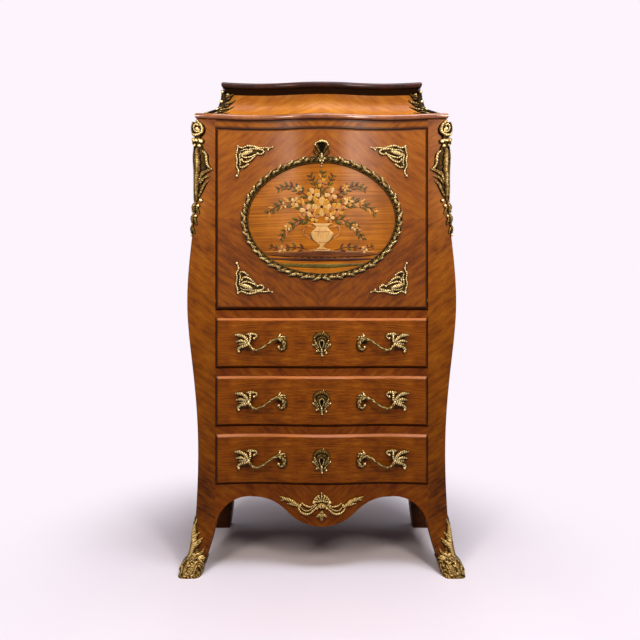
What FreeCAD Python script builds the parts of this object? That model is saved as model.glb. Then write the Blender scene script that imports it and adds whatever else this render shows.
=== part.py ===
import FreeCAD, Part
import math
import os

# Fall-front writing desk with three drawers, a serpentine front, swelling sides and gilt bronze mounts.
# Millimetres. +Z is up, the front faces -Y, the origin is on the floor under the middle of the desk.

V = FreeCAD.Vector

# Overall depth and the serpentine of the front
OVERALL_DEPTH = 430.0
TOE_REACH = 60.0
SERPENTINE_RISE = 14.0
SERPENTINE_HALF_WAVE = 180.0

# Front elevation, from the floor up
DRAWER_BASE_Z = 243.0
DRAWER_OPENING = 143.5
DRAWER_RAIL = 20.5
SILL_RAIL = 21.0
FALL_OPENING = 514.0
FRIEZE_RAIL = 24.5
TOP_BOARD = 16.0
COVE_HEIGHT = 80.0
CREST_BOARD = 30.0

# Half widths of the front, from the opening out to the swelling edge of the posts
OPENING_HALF = 300.0
TOP_HALF = 351.0
SHOULDER_HALF = 361.5
BELLY_HALF = 379.0
HIP_HALF = 362.5
WAIST_HALF = 349.5
ANKLE_HALF = 358.0
INSTEP_HALF = 365.0
FOOT_HALF = 377.0
SHOULDER_RISE = 245.0
BELLY_RISE = 10.0
ANKLE_Z = 110.0
INSTEP_Z = 45.0

# Posts, legs and carcass boards
POST_DEPTH = 55.0
REAR_POST_DEPTH = 45.0
LEG_SPLAY_Z = 225.0
LEG_KNEE_Z = 129.0
LEG_FOOT_DEPTH = 42.0
FRONT_FOOT_INNER = 337.0
REAR_FOOT_INNER = 313.0
SHIN_BOW = 2.0
SPLAY_AT_ANKLE = 0.16
SPLAY_AT_INSTEP = 0.5
TOE_ANGLE = 49.0
HEEL_ANGLE = 20.0
POST_ROUND = 4.0
SIDE_THICKNESS = 18.0
RAIL_DEPTH = 22.0
ARCH_HALF = 195.0
ARCH_Z = 207.0
APRON_DROP_Z = 126.0
SIDE_ARCH_Z = 205.0
SIDE_DROP_Z = 165.0
SIDE_KNEE_Z = 135.0
SIDE_ARCH_SHARE = 0.6
BOTTOM_BOARD = 16.0
BACK_BOARD = 10.0
BACK_RECESS = 6.0
BACK_PLANKS = 4
PLANK_GROOVE = 2.5
RUNNER_WIDTH = 30.0
RUNNER_FENCE = 12.0
FENCE_RISE = 15.0
DUST_BOARD = 14.0

# Crest above the carcass
TOP_OVERHANG = 8.0
TOP_SIDE_OVERHANG = 5.0
COVE_FOOT_HALF = 346.0
COVE_FOOT_PROUD = -1.0
COVE_REACH = 64.0
COVE_NECK = 6.0
COVE_WALL = 20.0
CREST_OVERHANG = 9.0
CREST_FRONT_OVERHANG = 22.0
CREST_NECK = 12.0
CREST_NECK_PROUD = 1.0
CREST_NOSE_ROUND = 8.5
CREST_STEPS = 6
TOP_OVOLO = 8.0
TOP_LOWER_ROUND = 6.0

# Fall front, its pivots, stays and lock
PANEL_PROUD = 8.0
EDGE_BEVEL = 7.5
FALL_END_GAP = 2.0
FALL_TOP_GAP = 2.0
FALL_SILL_GAP = 3.0
FALL_BACK = 16.0
PIVOT_INSET = 7.2
PIVOT_RISE = 25.0
PIVOT_PIN_RADIUS = 4.0
PIVOT_PIN_REACH = 14.0
RUNNING_CLEARANCE = 0.05
PIVOT_PLATE_THICKNESS = 2.5
PIVOT_PLATE_WIDTH = 14.0
PIVOT_PLATE_HEIGHT = 44.0
PIVOT_PLATE_SETBACK = 1.0
SWING_CLEARANCE = 0.7
STAY_RADIUS = 150.0
STAY_WIDTH = 18.0
STAY_SLOT = 6.0
STAY_THICKNESS = 4.0
STAY_OFFSET = 288.0
STAY_PIN_RADIUS = 2.5
STAY_PIN_ANGLE = 79.0
STAY_PIN_HEAD = 4.5
STAY_PIN_HEAD_THICKNESS = 1.8
STAY_PIN_PLAY = 1.0
STAY_PIN_DEPTH = 14.0
STAY_SLACK = 0.5
STAY_TAIL = 3.0
STAY_FOOT_HEIGHT = 44.0
STAY_FOOT_THICKNESS = 2.5
FALL_SWING = 90.0
LEATHER_HALF = 238.0
LEATHER_BELOW = 52.0
LEATHER_ABOVE = 112.0
LEATHER_THICKNESS = 1.6
LOCK_HALF = 32.0
FALL_LOCK_HEIGHT = 88.0
LOCK_THICKNESS = 10.0
LOCK_HEIGHT = 86.0
BOLT_HALF = 14.0
BOLT_THICKNESS = 5.6
BOLT_LENGTH = 24.0
BOLT_THROW = 8.0
BOLT_CLEARANCE = 0.3
BOLT_SETBACK = 0.6
MORTISE_CLEARANCE = 1.0
KEYHOLE_RADIUS = 3.0
KEYHOLE_SLOT = 3.0
KEYHOLE_DROP = 9.0

# Desk inside
CHEEK_THICKNESS = 12.0
CHEEK_GAP = 4.0
DESK_FLOOR = 16.0
NEST_DEPTH = 150.0
NEST_BOARD = 9.0
NEST_LOWER = 120.0
NEST_UPPER = 260.0
NEST_STILE_HALF = 130.0

# Drawers
DRAWER_GAP = 1.0
DRAWER_BACK_PLANE = 14.0
DRAWER_SIDE = 11.0
DRAWER_SIDE_GAP = 3.5
DRAWER_SIDE_DROP = 20.0
DRAWER_RUN_GAP = 0.3
DRAWER_REAR_GAP = 22.0
DRAWER_BACK = 10.0
DRAWER_BACK_DROP = 8.0
DRAWER_BOTTOM = 5.0
DRAWER_BOTTOM_LIFT = 10.0
DRAWER_GROOVE = 5.0

# Bronze mounts
MOUNT_BASE = 3.0
MOUNT_RAISED = 6.5
HANDLE_CENTRE = 180.0
HANDLE_LIFT = 4.0
HANDLE_WIDTH = 150.0
HANDLE_HEIGHT = 60.0
HANDLE_REACH = 26.0
HANDLE_GRIP_RADIUS = 4.5
HANDLE_LEAF = 6.0
STUD_RADIUS = 2.5
STUD_TAIL = 2.0
NUT_SIDE = 10.0
NUT_THICKNESS = 4.0
ESCUTCHEON_WIDTH = 46.0
ESCUTCHEON_HEIGHT = 70.0
ESCUTCHEON_THICKNESS = 4.5
FALL_ESCUTCHEON_HEIGHT = 45.0
FALL_ESCUTCHEON_DROP = 55.0
OVAL_HALF_WIDTH = 207.0
OVAL_HALF_HEIGHT = 154.0
OVAL_FRAME_WIDTH = 20.0
OVAL_FRAME_BEAD = 10.0
OVAL_FRAME_HEIGHT = 8.0
OVAL_VENEER = 1.2
CORNER_MOUNT_WIDTH = 107.0
CORNER_MOUNT_HEIGHT = 97.0
CORNER_MOUNT_X = 244.0
CORNER_MOUNT_DROP = 46.0
CORNER_MOUNT_LIFT = 41.0
APRON_MOUNT_HALF = 120.0
APRON_MOUNT_HEIGHT = 80.0
APRON_MOUNT_Z = 182.0
KNEE_MOUNT_LENGTH = 332.0
KNEE_MOUNT_THICKNESS = 5.0
KNEE_MOUNT_WIDTH = 36.0
SABOT_HEIGHT = 150.0
SABOT_INNER_HEIGHT = 42.0
SABOT_LEAF_SHARE = 0.5
SABOT_TOP_THICKNESS = 3.5
SABOT_TOE_SIDE = 24.0
SABOT_TOE_FRONT = 18.0
SHOE_STEPS = 12
SHOE_SQUARENESS = 0.55
CREST_MOUNT_THICKNESS = 5.0
CREST_MOUNT_WIDTH = 26.0

# Room left round cutters, and the least distance that tells two levels apart
MARGIN = 1.0
SAME = 0.01

# Planes and levels worked out from the sizes above
FRONT = TOE_REACH - OVERALL_DEPTH / 2
BACK = OVERALL_DEPTH / 2
LOWER_RAIL_Z = DRAWER_BASE_Z + DRAWER_OPENING
UPPER_RAIL_Z = LOWER_RAIL_Z + DRAWER_RAIL + DRAWER_OPENING
SILL_Z = UPPER_RAIL_Z + DRAWER_RAIL + DRAWER_OPENING
SILL_TOP = SILL_Z + SILL_RAIL
FRIEZE_Z = SILL_TOP + FALL_OPENING
POST_TOP = FRIEZE_Z + FRIEZE_RAIL
COVE_Z = POST_TOP + TOP_BOARD
CREST_Z = COVE_Z + COVE_HEIGHT
OVERALL_HEIGHT = CREST_Z + CREST_BOARD
BACK_FACE = BACK - BACK_RECESS - BACK_BOARD
REAR_POST_FRONT = BACK - REAR_POST_DEPTH
RAIL_BACK = FRONT + RAIL_DEPTH


def serpentine(x):
    """Rise of the front ahead of its flanks at x: alternating arcs, crest at the middle."""
    half = SERPENTINE_HALF_WAVE / 2
    radius = (half ** 2 + (SERPENTINE_RISE / 2) ** 2) / SERPENTINE_RISE
    wave = round(abs(x) / SERPENTINE_HALF_WAVE)
    across = abs(x) - wave * SERPENTINE_HALF_WAVE
    sag = radius - math.sqrt(radius ** 2 - across ** 2)
    return sag if wave % 2 else SERPENTINE_RISE - sag


POST_FRONT = FRONT - serpentine(OPENING_HALF)
POST_BACK = POST_FRONT + POST_DEPTH
POST_SLOPE = (serpentine(TOP_HALF) - serpentine(OPENING_HALF)) / (TOP_HALF - OPENING_HALF)
FOOT_FRONT = POST_FRONT - (FOOT_HALF - OPENING_HALF) * POST_SLOPE
LEG_SPLAY = FOOT_FRONT - SABOT_TOE_FRONT + OVERALL_DEPTH / 2
FALL_Z = SILL_TOP + FALL_SILL_GAP
FALL_TOP = FRIEZE_Z - FALL_TOP_GAP
FALL_HALF = OPENING_HALF - FALL_END_GAP
FALL_INNER = FRONT + FALL_BACK
PIVOT_Y = POST_FRONT + PIVOT_INSET
PIVOT_Z = FALL_Z + PIVOT_RISE
DESK_TOP = PIVOT_Z + FALL_INNER - PIVOT_Y
SWING_RADIUS = math.hypot(FALL_INNER - PIVOT_Y, PIVOT_RISE) + SWING_CLEARANCE
CHEEK_OUTER = STAY_OFFSET - CHEEK_GAP
CHEEK_INNER = CHEEK_OUTER - CHEEK_THICKNESS


def line(start, end):
    return Part.LineSegment(start, end).toShape()


def spline(points, start=None, end=None):
    """A smooth curve through points, with both end directions given or both left free."""
    curve = Part.BSplineCurve()
    if start:
        curve.interpolate(points, InitialTangent=start, FinalTangent=end)
    else:
        curve.interpolate(points)
    return curve.toShape()


def closed_spline(points):
    curve = Part.BSplineCurve()
    curve.interpolate(points, PeriodicFlag=True)
    return Part.Wire([curve.toShape()])


def solid_from(edges, direction):
    return Part.Face(Part.Wire(Part.__sortEdges__(edges))).extrude(direction)


def block(x0, x1, y0, y1, z0, z1):
    return Part.makeBox(x1 - x0, y1 - y0, z1 - z0, V(x0, y0, z0))


def mirrored(shape):
    return shape.mirror(V(0, 0, 0), V(1, 0, 0))


def pair(shape):
    return Part.makeCompound([shape, mirrored(shape)])


def save(name, shape):
    shape.exportStep("parts/" + name + ".step")


def face_point(x, proud, z):
    return V(x, FRONT - serpentine(x) - proud, z)


def face_edges(x0, x1, proud, z):
    """The serpentine from x0 to x1 as its tangent arcs."""
    half = SERPENTINE_HALF_WAVE / 2
    turns = [turn * half for turn in (-3, -1, 1, 3)]
    stops = [x0] + [turn for turn in turns if x0 < turn < x1] + [x1]
    edges = []
    for start, end in zip(stops, stops[1:]):
        middle = (start + end) / 2
        arc = Part.Arc(face_point(start, proud, z), face_point(middle, proud, z), face_point(end, proud, z))
        edges.append(arc.toShape())
    return edges


def serpentine_board(half, proud, back_y, z0, z1):
    """A board with a serpentine face and a flat back."""
    right = face_point(half, proud, z0)
    left = face_point(-half, proud, z0)
    right_back = V(half, back_y, z0)
    left_back = V(-half, back_y, z0)
    edges = face_edges(-half, half, proud, z0)
    edges += [line(right, right_back), line(right_back, left_back), line(left_back, left)]
    return solid_from(edges, V(0, 0, z1 - z0))


def serpentine_layer(x0, x1, proud, thickness, z0, z1):
    """A skin of even thickness that follows the serpentine, in front of the face at proud."""
    front = proud + thickness
    edges = face_edges(x0, x1, proud, z0) + face_edges(x0, x1, front, z0)
    edges.append(line(face_point(x0, proud, z0), face_point(x0, front, z0)))
    edges.append(line(face_point(x1, proud, z0), face_point(x1, front, z0)))
    return solid_from(edges, V(0, 0, z1 - z0))


def front_prism(wire):
    """An outline in the XZ plane, run through the whole front."""
    depth = V(0, OVERALL_DEPTH, 0)
    prism = Part.Face(wire).extrude(depth)
    prism.translate(V(0, FRONT - OVERALL_DEPTH / 2, 0))
    return prism


def ellipse_prism(half_width, half_height, x, z):
    centre = V(x, 0, z)
    across = V(half_width, 0, 0)
    up = V(0, 0, half_height)
    if half_width > half_height:
        ellipse = Part.Ellipse(centre + across, centre + up, centre)
    else:
        ellipse = Part.Ellipse(centre + up, centre + across, centre)
    return front_prism(Part.Wire([ellipse.toShape()]))


def outline(points, x, z, width, height):
    """A closed curve through points given as shares of a width and a height about x, z."""
    return closed_spline([V(x + u * width, 0, z + v * height) for u, v in points])


def applied(wire, proud, thickness):
    """A bronze plate of the given outline, bedded on the serpentine face."""
    prism = front_prism(wire)
    box = prism.BoundBox
    x0 = box.XMin - MARGIN
    x1 = box.XMax + MARGIN
    return prism.common(serpentine_layer(x0, x1, proud, thickness, box.ZMin - MARGIN, box.ZMax + MARGIN))


# Posts and legs


def outer_stations(grow):
    """Half widths of the swelling outer edge with their heights, from the foot up."""
    stations = [
        (FOOT_HALF, 0),
        (INSTEP_HALF, INSTEP_Z),
        (ANKLE_HALF, ANKLE_Z),
        (WAIST_HALF, LOWER_RAIL_Z),
        (HIP_HALF, UPPER_RAIL_Z + DRAWER_RAIL / 2),
        (BELLY_HALF, SILL_TOP + BELLY_RISE),
        (SHOULDER_HALF, SILL_TOP + SHOULDER_RISE),
        (TOP_HALF, POST_TOP),
    ]
    return [V(half + grow, 0, z) for half, z in stations]


def crossing(edge, z):
    """Point where an edge passes a height."""
    middle = edge.BoundBox.Center
    reach = V(OVERALL_DEPTH, OVERALL_DEPTH, 0)
    level = Part.makePlane(2 * OVERALL_DEPTH, 2 * OVERALL_DEPTH, V(middle.x, middle.y, z) - reach)
    return edge.distToShape(level)[1][0][0]


def outer_half(z):
    """Half width of the outer edge at a height."""
    return crossing(spline(outer_stations(0)), z).x


def shin_edge(foot_inner):
    """Inner edge of a leg, from the apron down to the foot."""
    knee = V(OPENING_HALF, 0, LEG_KNEE_Z)
    shin = V((OPENING_HALF + foot_inner) / 2 - SHIN_BOW, 0, LEG_KNEE_Z / 2)
    return Part.Arc(knee, shin, V(foot_inner, 0, 0)).toShape()


def post_elevation(foot_inner, grow):
    """Front view of a right-hand post: swelling outside, straight inside, leg curving to the foot."""
    stations = outer_stations(grow)
    top_inner = V(OPENING_HALF, 0, POST_TOP)
    edges = [
        spline(stations),
        line(stations[-1], top_inner),
        line(top_inner, V(OPENING_HALF, 0, LEG_KNEE_Z)),
        shin_edge(foot_inner),
        line(V(foot_inner, 0, 0), stations[0]),
    ]
    prism = solid_from(edges, V(0, 2 * OVERALL_DEPTH, 0))
    prism.translate(V(0, -OVERALL_DEPTH, 0))
    return prism


def leaning(degrees):
    """Downward direction that leans forward."""
    angle = math.radians(degrees)
    return V(0, -math.sin(angle), -math.cos(angle))


def front_sweep(grow):
    """Front edge of a front leg in side view, sweeping forward to the toe."""
    x = OPENING_HALF
    y = POST_FRONT - grow
    points = [
        V(x, y, LEG_SPLAY_Z),
        V(x, y - LEG_SPLAY * SPLAY_AT_ANKLE, ANKLE_Z),
        V(x, y - LEG_SPLAY * SPLAY_AT_INSTEP, INSTEP_Z),
        V(x, y - LEG_SPLAY, 0),
    ]
    return spline(points, leaning(0), leaning(TOE_ANGLE))


def back_sweep():
    """Back edge of a front leg in side view."""
    x = OPENING_HALF
    heel_y = POST_FRONT - LEG_SPLAY + LEG_FOOT_DEPTH
    points = [V(x, POST_BACK, LEG_SPLAY_Z), V(x, (POST_BACK + heel_y) / 2, ANKLE_Z), V(x, heel_y, 0)]
    return spline(points, leaning(0), leaning(HEEL_ANGLE))


def front_post_side(grow):
    """Side view of a front post: upright above, sweeping forward to the toe below."""
    front = front_sweep(grow)
    back = back_sweep()
    x = OPENING_HALF
    top_front = V(x, POST_FRONT - grow, POST_TOP)
    top_back = V(x, POST_BACK, POST_TOP)
    edges = [
        line(top_front, front.Vertexes[0].Point),
        front,
        line(front.Vertexes[1].Point, back.Vertexes[1].Point),
        back,
        line(back.Vertexes[0].Point, top_back),
        line(top_back, top_front),
    ]
    run = BELLY_HALF - OPENING_HALF + SABOT_TOE_SIDE
    return solid_from(edges, V(run, -run * POST_SLOPE, 0))


def front_post_form(grow):
    """Front post and leg with a rounded outer corner, grown outward for what is laid on it."""
    form = post_elevation(FRONT_FOOT_INNER, grow).common(front_post_side(grow))
    corner = []
    for edge in form.Edges:
        box = edge.BoundBox
        if box.ZLength > ANKLE_Z and box.XMin > (OPENING_HALF + WAIST_HALF) / 2 and box.YMax < POST_FRONT:
            corner.append(edge)
    return form.makeFillet(POST_ROUND + grow, corner)


def pivot_plate_pocket(face_x, depth):
    half = PIVOT_PLATE_WIDTH / 2
    middle = PIVOT_Y + PIVOT_PLATE_SETBACK
    tail = PIVOT_Z + PIVOT_PLATE_HEIGHT - half
    return block(face_x, face_x + depth, middle - half, middle + half, PIVOT_Z - half, tail)


def stay_pin_centre():
    angle = math.radians(STAY_PIN_ANGLE)
    return PIVOT_Y + STAY_RADIUS * math.cos(angle), PIVOT_Z + STAY_RADIUS * math.sin(angle)


def stay_pin():
    """Fixed pin in the post that the quadrant stay slides over, with a head inside."""
    y, z = stay_pin_centre()
    inner = STAY_OFFSET - STAY_PIN_PLAY - STAY_PIN_HEAD_THICKNESS
    length = OPENING_HALF + STAY_PIN_DEPTH - inner
    shank = Part.makeCylinder(STAY_PIN_RADIUS, length, V(inner, y, z), V(1, 0, 0))
    head = Part.makeCylinder(STAY_PIN_HEAD, STAY_PIN_HEAD_THICKNESS, V(inner, y, z), V(1, 0, 0))
    return shank.fuse(head).removeSplitter()


def front_post():
    post = front_post_form(0)
    post = post.cut(pivot_plate_pocket(OPENING_HALF, PIVOT_PLATE_THICKNESS))
    return post.cut(stay_pin())


def rear_post():
    side = block(OPENING_HALF, 2 * BELLY_HALF, REAR_POST_FRONT, BACK, 0, POST_TOP)
    return post_elevation(REAR_FOOT_INNER, 0).common(side)


def arch_edges(half, knee_z, arch_u, arch_z, drop_z, at):
    """Lower edge of an apron: two arches and a middle drop, right half first; at maps (u, z) to a point."""
    lean = math.sqrt(0.5)
    turn_u = arch_u / 2
    turn_z = (arch_z + drop_z) / 2
    radius = (turn_u ** 2 + (arch_z - turn_z) ** 2) / (2 * (arch_z - turn_z))
    sag = radius - math.sqrt(radius ** 2 - (turn_u / 2) ** 2)
    haunch = (arch_u + (half - arch_u) * lean, knee_z + (arch_z - knee_z) * lean)
    edges = []
    for side in (1, -1):
        crown = at(side * arch_u, arch_z)
        turn = at(side * turn_u, turn_z)
        shoulder = Part.Arc(at(side * half, knee_z), at(side * haunch[0], haunch[1]), crown)
        inner = Part.Arc(crown, at(side * (arch_u + turn_u) / 2, arch_z - sag), turn)
        drop = Part.Arc(turn, at(side * turn_u / 2, drop_z + sag), at(0, drop_z))
        edges += [shoulder.toShape(), inner.toShape(), drop.toShape()]
    return edges


def front_apron():
    """Shaped board under the drawers, between the front legs."""

    def at(u, z):
        return V(u, 0, z)

    edges = arch_edges(OPENING_HALF, LEG_KNEE_Z, ARCH_HALF, ARCH_Z, APRON_DROP_Z, at)
    right_top = at(OPENING_HALF, DRAWER_BASE_Z)
    left_top = at(-OPENING_HALF, DRAWER_BASE_Z)
    edges.append(line(at(OPENING_HALF, LEG_KNEE_Z), right_top))
    edges.append(line(right_top, left_top))
    edges.append(line(left_top, at(-OPENING_HALF, LEG_KNEE_Z)))
    shape = front_prism(Part.Wire(Part.__sortEdges__(edges)))
    return shape.common(serpentine_board(OPENING_HALF, 0, RAIL_BACK, 0, DRAWER_BASE_Z))


def side_panel():
    """Swelling side board between the posts, with a shaped lower edge."""
    outer = outer_stations(0)
    inner = outer_stations(-SIDE_THICKNESS)
    edges = [spline(outer), spline(inner), line(outer[0], inner[0]), line(outer[-1], inner[-1])]
    panel = solid_from(edges, V(0, REAR_POST_FRONT - POST_BACK, 0))
    panel.translate(V(0, POST_BACK, 0))
    middle = (POST_BACK + REAR_POST_FRONT) / 2
    half = (REAR_POST_FRONT - POST_BACK) / 2

    def at(u, z):
        return V(0, middle + u, z)

    cut = arch_edges(half, SIDE_KNEE_Z, half * SIDE_ARCH_SHARE, SIDE_ARCH_Z, SIDE_DROP_Z, at)
    cut.append(line(at(half, SIDE_KNEE_Z), at(half, POST_TOP)))
    cut.append(line(at(half, POST_TOP), at(-half, POST_TOP)))
    cut.append(line(at(-half, POST_TOP), at(-half, SIDE_KNEE_Z)))
    return panel.common(solid_from(cut, V(2 * BELLY_HALF, 0, 0)))


def make_posts():
    post = front_post()
    save("front_right_post", post)
    save("front_left_post", mirrored(post))
    rear = rear_post()
    save("rear_right_post", rear)
    save("rear_left_post", mirrored(rear))
    panel = side_panel()
    save("right_side_panel", panel)
    save("left_side_panel", mirrored(panel))
    return post


# Rails, boards and runners of the carcass


def bolt_y():
    return FRONT + DRAWER_BACK_PLANE - LOCK_THICKNESS / 2


def bolt_mortise(z):
    """Slot in the rail over a lock, for the thrown bolt."""
    half = BOLT_HALF + MORTISE_CLEARANCE
    deep = BOLT_THICKNESS / 2 + MORTISE_CLEARANCE
    top = z + BOLT_THROW + MORTISE_CLEARANCE
    return block(-half, half, bolt_y() - deep, bolt_y() + deep, z - MARGIN, top)


def rail(z, height):
    return serpentine_board(OPENING_HALF, 0, RAIL_BACK, z, z + height)


def back_panel():
    """Upright planks with a groove at each joint, let in between the rear posts."""
    z0 = DRAWER_BASE_Z - BOTTOM_BOARD
    panel = block(-OPENING_HALF, OPENING_HALF, BACK_FACE, BACK_FACE + BACK_BOARD, z0, POST_TOP)
    outer = BACK_FACE + BACK_BOARD
    for joint in range(1, BACK_PLANKS):
        x = -OPENING_HALF + joint * 2 * OPENING_HALF / BACK_PLANKS
        left = V(x - PLANK_GROOVE, outer, z0)
        right = V(x + PLANK_GROOVE, outer, z0)
        root = V(x, outer - PLANK_GROOVE, z0)
        groove = solid_from([line(left, right), line(right, root), line(root, left)], V(0, 0, POST_TOP - z0))
        panel = panel.cut(groove)
    return panel


def runner(z):
    """Strip that carries one edge of a drawer, with a fence that guides the drawer side."""
    inner = OPENING_HALF - RUNNER_WIDTH
    strip = block(inner, OPENING_HALF, RAIL_BACK, BACK_FACE, z, z + DRAWER_RAIL)
    outer = OPENING_HALF + RUNNER_FENCE
    fence = block(OPENING_HALF, outer, POST_BACK, REAR_POST_FRONT, z, z + DRAWER_RAIL + FENCE_RISE)
    return strip.fuse(fence).removeSplitter()


def make_carcass():
    save("frieze_rail", rail(FRIEZE_Z, FRIEZE_RAIL).cut(bolt_mortise(FRIEZE_Z)))
    save("sill_rail", rail(SILL_Z, SILL_RAIL).cut(bolt_mortise(SILL_Z)))
    rails = []
    for z in (LOWER_RAIL_Z, UPPER_RAIL_Z):
        rails.append(rail(z, DRAWER_RAIL).cut(bolt_mortise(z)))
    save("drawer_rails", Part.makeCompound(rails))
    save("front_apron", front_apron())
    save("back_panel", back_panel())
    bottom_z = DRAWER_BASE_Z - BOTTOM_BOARD
    save("bottom_board", block(-OPENING_HALF, OPENING_HALF, RAIL_BACK, BACK_FACE, bottom_z, DRAWER_BASE_Z))
    dust_z = SILL_TOP - DUST_BOARD
    save("dust_board", block(-CHEEK_OUTER, CHEEK_OUTER, RAIL_BACK, BACK_FACE, dust_z, SILL_TOP))
    runners = []
    for z in (LOWER_RAIL_Z, UPPER_RAIL_Z):
        runners += [runner(z), mirrored(runner(z))]
    save("drawer_runners", Part.makeCompound(runners))


# Moulded top board and crest


def level_edges(shape, z, back_y):
    """Edges at one height, without the one along the back."""
    found = []
    for edge in shape.Edges:
        box = edge.BoundBox
        level = abs(box.ZMin - z) < SAME and abs(box.ZMax - z) < SAME
        if level and box.YMin < back_y - SAME:
            found.append(edge)
    return found


def top_board():
    half = TOP_HALF + TOP_SIDE_OVERHANG
    board = serpentine_board(half, TOP_OVERHANG, BACK, POST_TOP, COVE_Z)
    board = board.makeFillet(TOP_OVOLO, level_edges(board, COVE_Z, BACK))
    return board.makeFillet(TOP_LOWER_ROUND, level_edges(board, POST_TOP, BACK))


def crest_section(half, proud, z):
    """Level outline of the crest: serpentine front, straight sides and back."""
    shares = [step / CREST_STEPS for step in range(-CREST_STEPS, CREST_STEPS + 1)]
    front = [face_point(half * share, proud, z) for share in shares]
    right_back = V(half, BACK, z)
    left_back = V(-half, BACK, z)
    edges = [
        spline(front),
        line(front[-1], right_back),
        line(right_back, left_back),
        line(left_back, front[0]),
    ]
    return Part.Wire(edges)


def cove_inset(turn):
    """How far the hollow has drawn in after a turn of the quarter ellipse, and the height there."""
    angle = math.radians(turn)
    return COVE_REACH * math.cos(angle), CREST_Z - COVE_NECK - (COVE_HEIGHT - COVE_NECK) * math.sin(angle)


def crest_body(grow):
    """The whole hollow-sided crest as one form, grown outward for what is laid on it."""
    sections = []
    for turn in (90, 75, 60, 45, 30, 15, 0):
        inset, z = cove_inset(turn)
        sections.append(crest_section(COVE_FOOT_HALF - inset + grow, COVE_FOOT_PROUD - inset + grow, z))
    waist = grow - COVE_REACH
    sections.append(crest_section(COVE_FOOT_HALF + waist, COVE_FOOT_PROUD + waist, CREST_Z))
    return Part.makeLoft(sections, True, False)


def crest_cavity():
    half = COVE_FOOT_HALF - COVE_REACH - COVE_WALL
    front = FRONT - COVE_FOOT_PROUD + COVE_REACH + COVE_WALL
    return block(-half, half, front, BACK - BACK_BOARD, COVE_Z, CREST_Z)


def crest_board():
    """Round-nosed board on a neck that splays out from the head of the hollow."""
    waist_half = COVE_FOOT_HALF - COVE_REACH
    waist_proud = COVE_FOOT_PROUD - COVE_REACH
    half = waist_half + CREST_OVERHANG
    proud = waist_proud + CREST_FRONT_OVERHANG
    nose_z = CREST_Z + CREST_NECK
    nose = serpentine_board(half, proud, BACK, nose_z, OVERALL_HEIGHT)
    nose = nose.makeFillet(CREST_NOSE_ROUND, level_edges(nose, OVERALL_HEIGHT, BACK))
    nose = nose.makeFillet(CREST_NOSE_ROUND, level_edges(nose, nose_z, BACK))
    foot = crest_section(waist_half + CREST_NECK_PROUD, waist_proud + CREST_NECK_PROUD, CREST_Z)
    inset = CREST_NOSE_ROUND + MARGIN
    head = crest_section(half - inset, proud - inset, nose_z)
    neck = Part.makeLoft([foot, head], True, True)
    return nose.fuse(neck)


def make_crest():
    """Front and side coves mitred at the corners, a back board and a moulded board on top."""
    body = crest_body(0)
    cavity = crest_cavity().BoundBox
    shell = body.cut(crest_cavity())
    back = block(cavity.XMin, cavity.XMax, BACK - BACK_BOARD, BACK, COVE_Z, CREST_Z)
    shell = shell.cut(back)
    reach = OVERALL_DEPTH / 2
    corner = V(cavity.XMax, cavity.YMin, COVE_Z)
    far = V(cavity.XMax + reach, cavity.YMin - reach, COVE_Z)
    left_corner = V(cavity.XMin, cavity.YMin, COVE_Z)
    left_far = V(cavity.XMin - reach, cavity.YMin - reach, COVE_Z)
    mitre = [line(left_far, far), line(far, corner), line(corner, left_corner), line(left_corner, left_far)]
    wedge = solid_from(mitre, V(0, 0, COVE_HEIGHT))
    sides = shell.cut(wedge)
    boards = [shell.common(wedge), back] + sides.Solids
    save("crest_coves", Part.makeCompound(boards))
    save("crest_board", crest_board())
    save("top_board", top_board())
    return body


# Desk inside the fall


def swing_space():
    """Space that the lower edge of the fall sweeps through as it opens."""
    start = V(-OPENING_HALF, PIVOT_Y, PIVOT_Z)
    return Part.makeCylinder(SWING_RADIUS, 2 * OPENING_HALF, start, V(1, 0, 0))


def make_desk():
    front = FALL_INNER + SWING_CLEARANCE
    nest_front = BACK_FACE - NEST_DEPTH
    floor_z = DESK_TOP - DESK_FLOOR
    floor = block(-CHEEK_INNER, CHEEK_INNER, front, nest_front, floor_z, DESK_TOP)
    save("desk_floor", floor.cut(swing_space()))
    cheek = block(CHEEK_INNER, CHEEK_OUTER, front, BACK_FACE, SILL_TOP, POST_TOP)
    cheek = cheek.cut(swing_space()).cut(rail(FRIEZE_Z, FRIEZE_RAIL))
    save("desk_cheeks", pair(cheek))
    lower_z = DESK_TOP + NEST_LOWER
    upper_z = DESK_TOP + NEST_UPPER
    boards = [block(-CHEEK_INNER, CHEEK_INNER, nest_front, BACK_FACE, floor_z, DESK_TOP)]
    for z in (lower_z, upper_z):
        boards.append(block(-CHEEK_INNER, CHEEK_INNER, nest_front, BACK_FACE, z, z + NEST_BOARD))
    half = NEST_BOARD / 2
    for x in (-NEST_STILE_HALF, NEST_STILE_HALF):
        boards.append(block(x - half, x + half, nest_front, BACK_FACE, DESK_TOP, lower_z))
    for x in (-NEST_STILE_HALF, 0, NEST_STILE_HALF):
        boards.append(block(x - half, x + half, nest_front, BACK_FACE, lower_z + NEST_BOARD, upper_z))
    save("pigeonholes", Part.makeCompound(boards))


# Locks and keyholes


def keyhole(z, y0, y1):
    """Round hole with a slot below it."""
    along = V(0, 1, 0)
    hole = Part.makeCylinder(KEYHOLE_RADIUS, y1 - y0, V(0, y0, z), along)
    slot = block(-KEYHOLE_SLOT / 2, KEYHOLE_SLOT / 2, y0, y1, z - KEYHOLE_DROP, z)
    return hole.fuse(slot).removeSplitter()


def lock_block(inner_y, top, height):
    return block(-LOCK_HALF, LOCK_HALF, inner_y - LOCK_THICKNESS, inner_y, top - height, top)


def bolt_slot(top):
    half = BOLT_HALF + BOLT_CLEARANCE
    deep = BOLT_THICKNESS / 2 + BOLT_CLEARANCE
    depth = BOLT_SETBACK + BOLT_LENGTH + BOLT_CLEARANCE
    return block(-half, half, bolt_y() - deep, bolt_y() + deep, top - depth, top)


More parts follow.
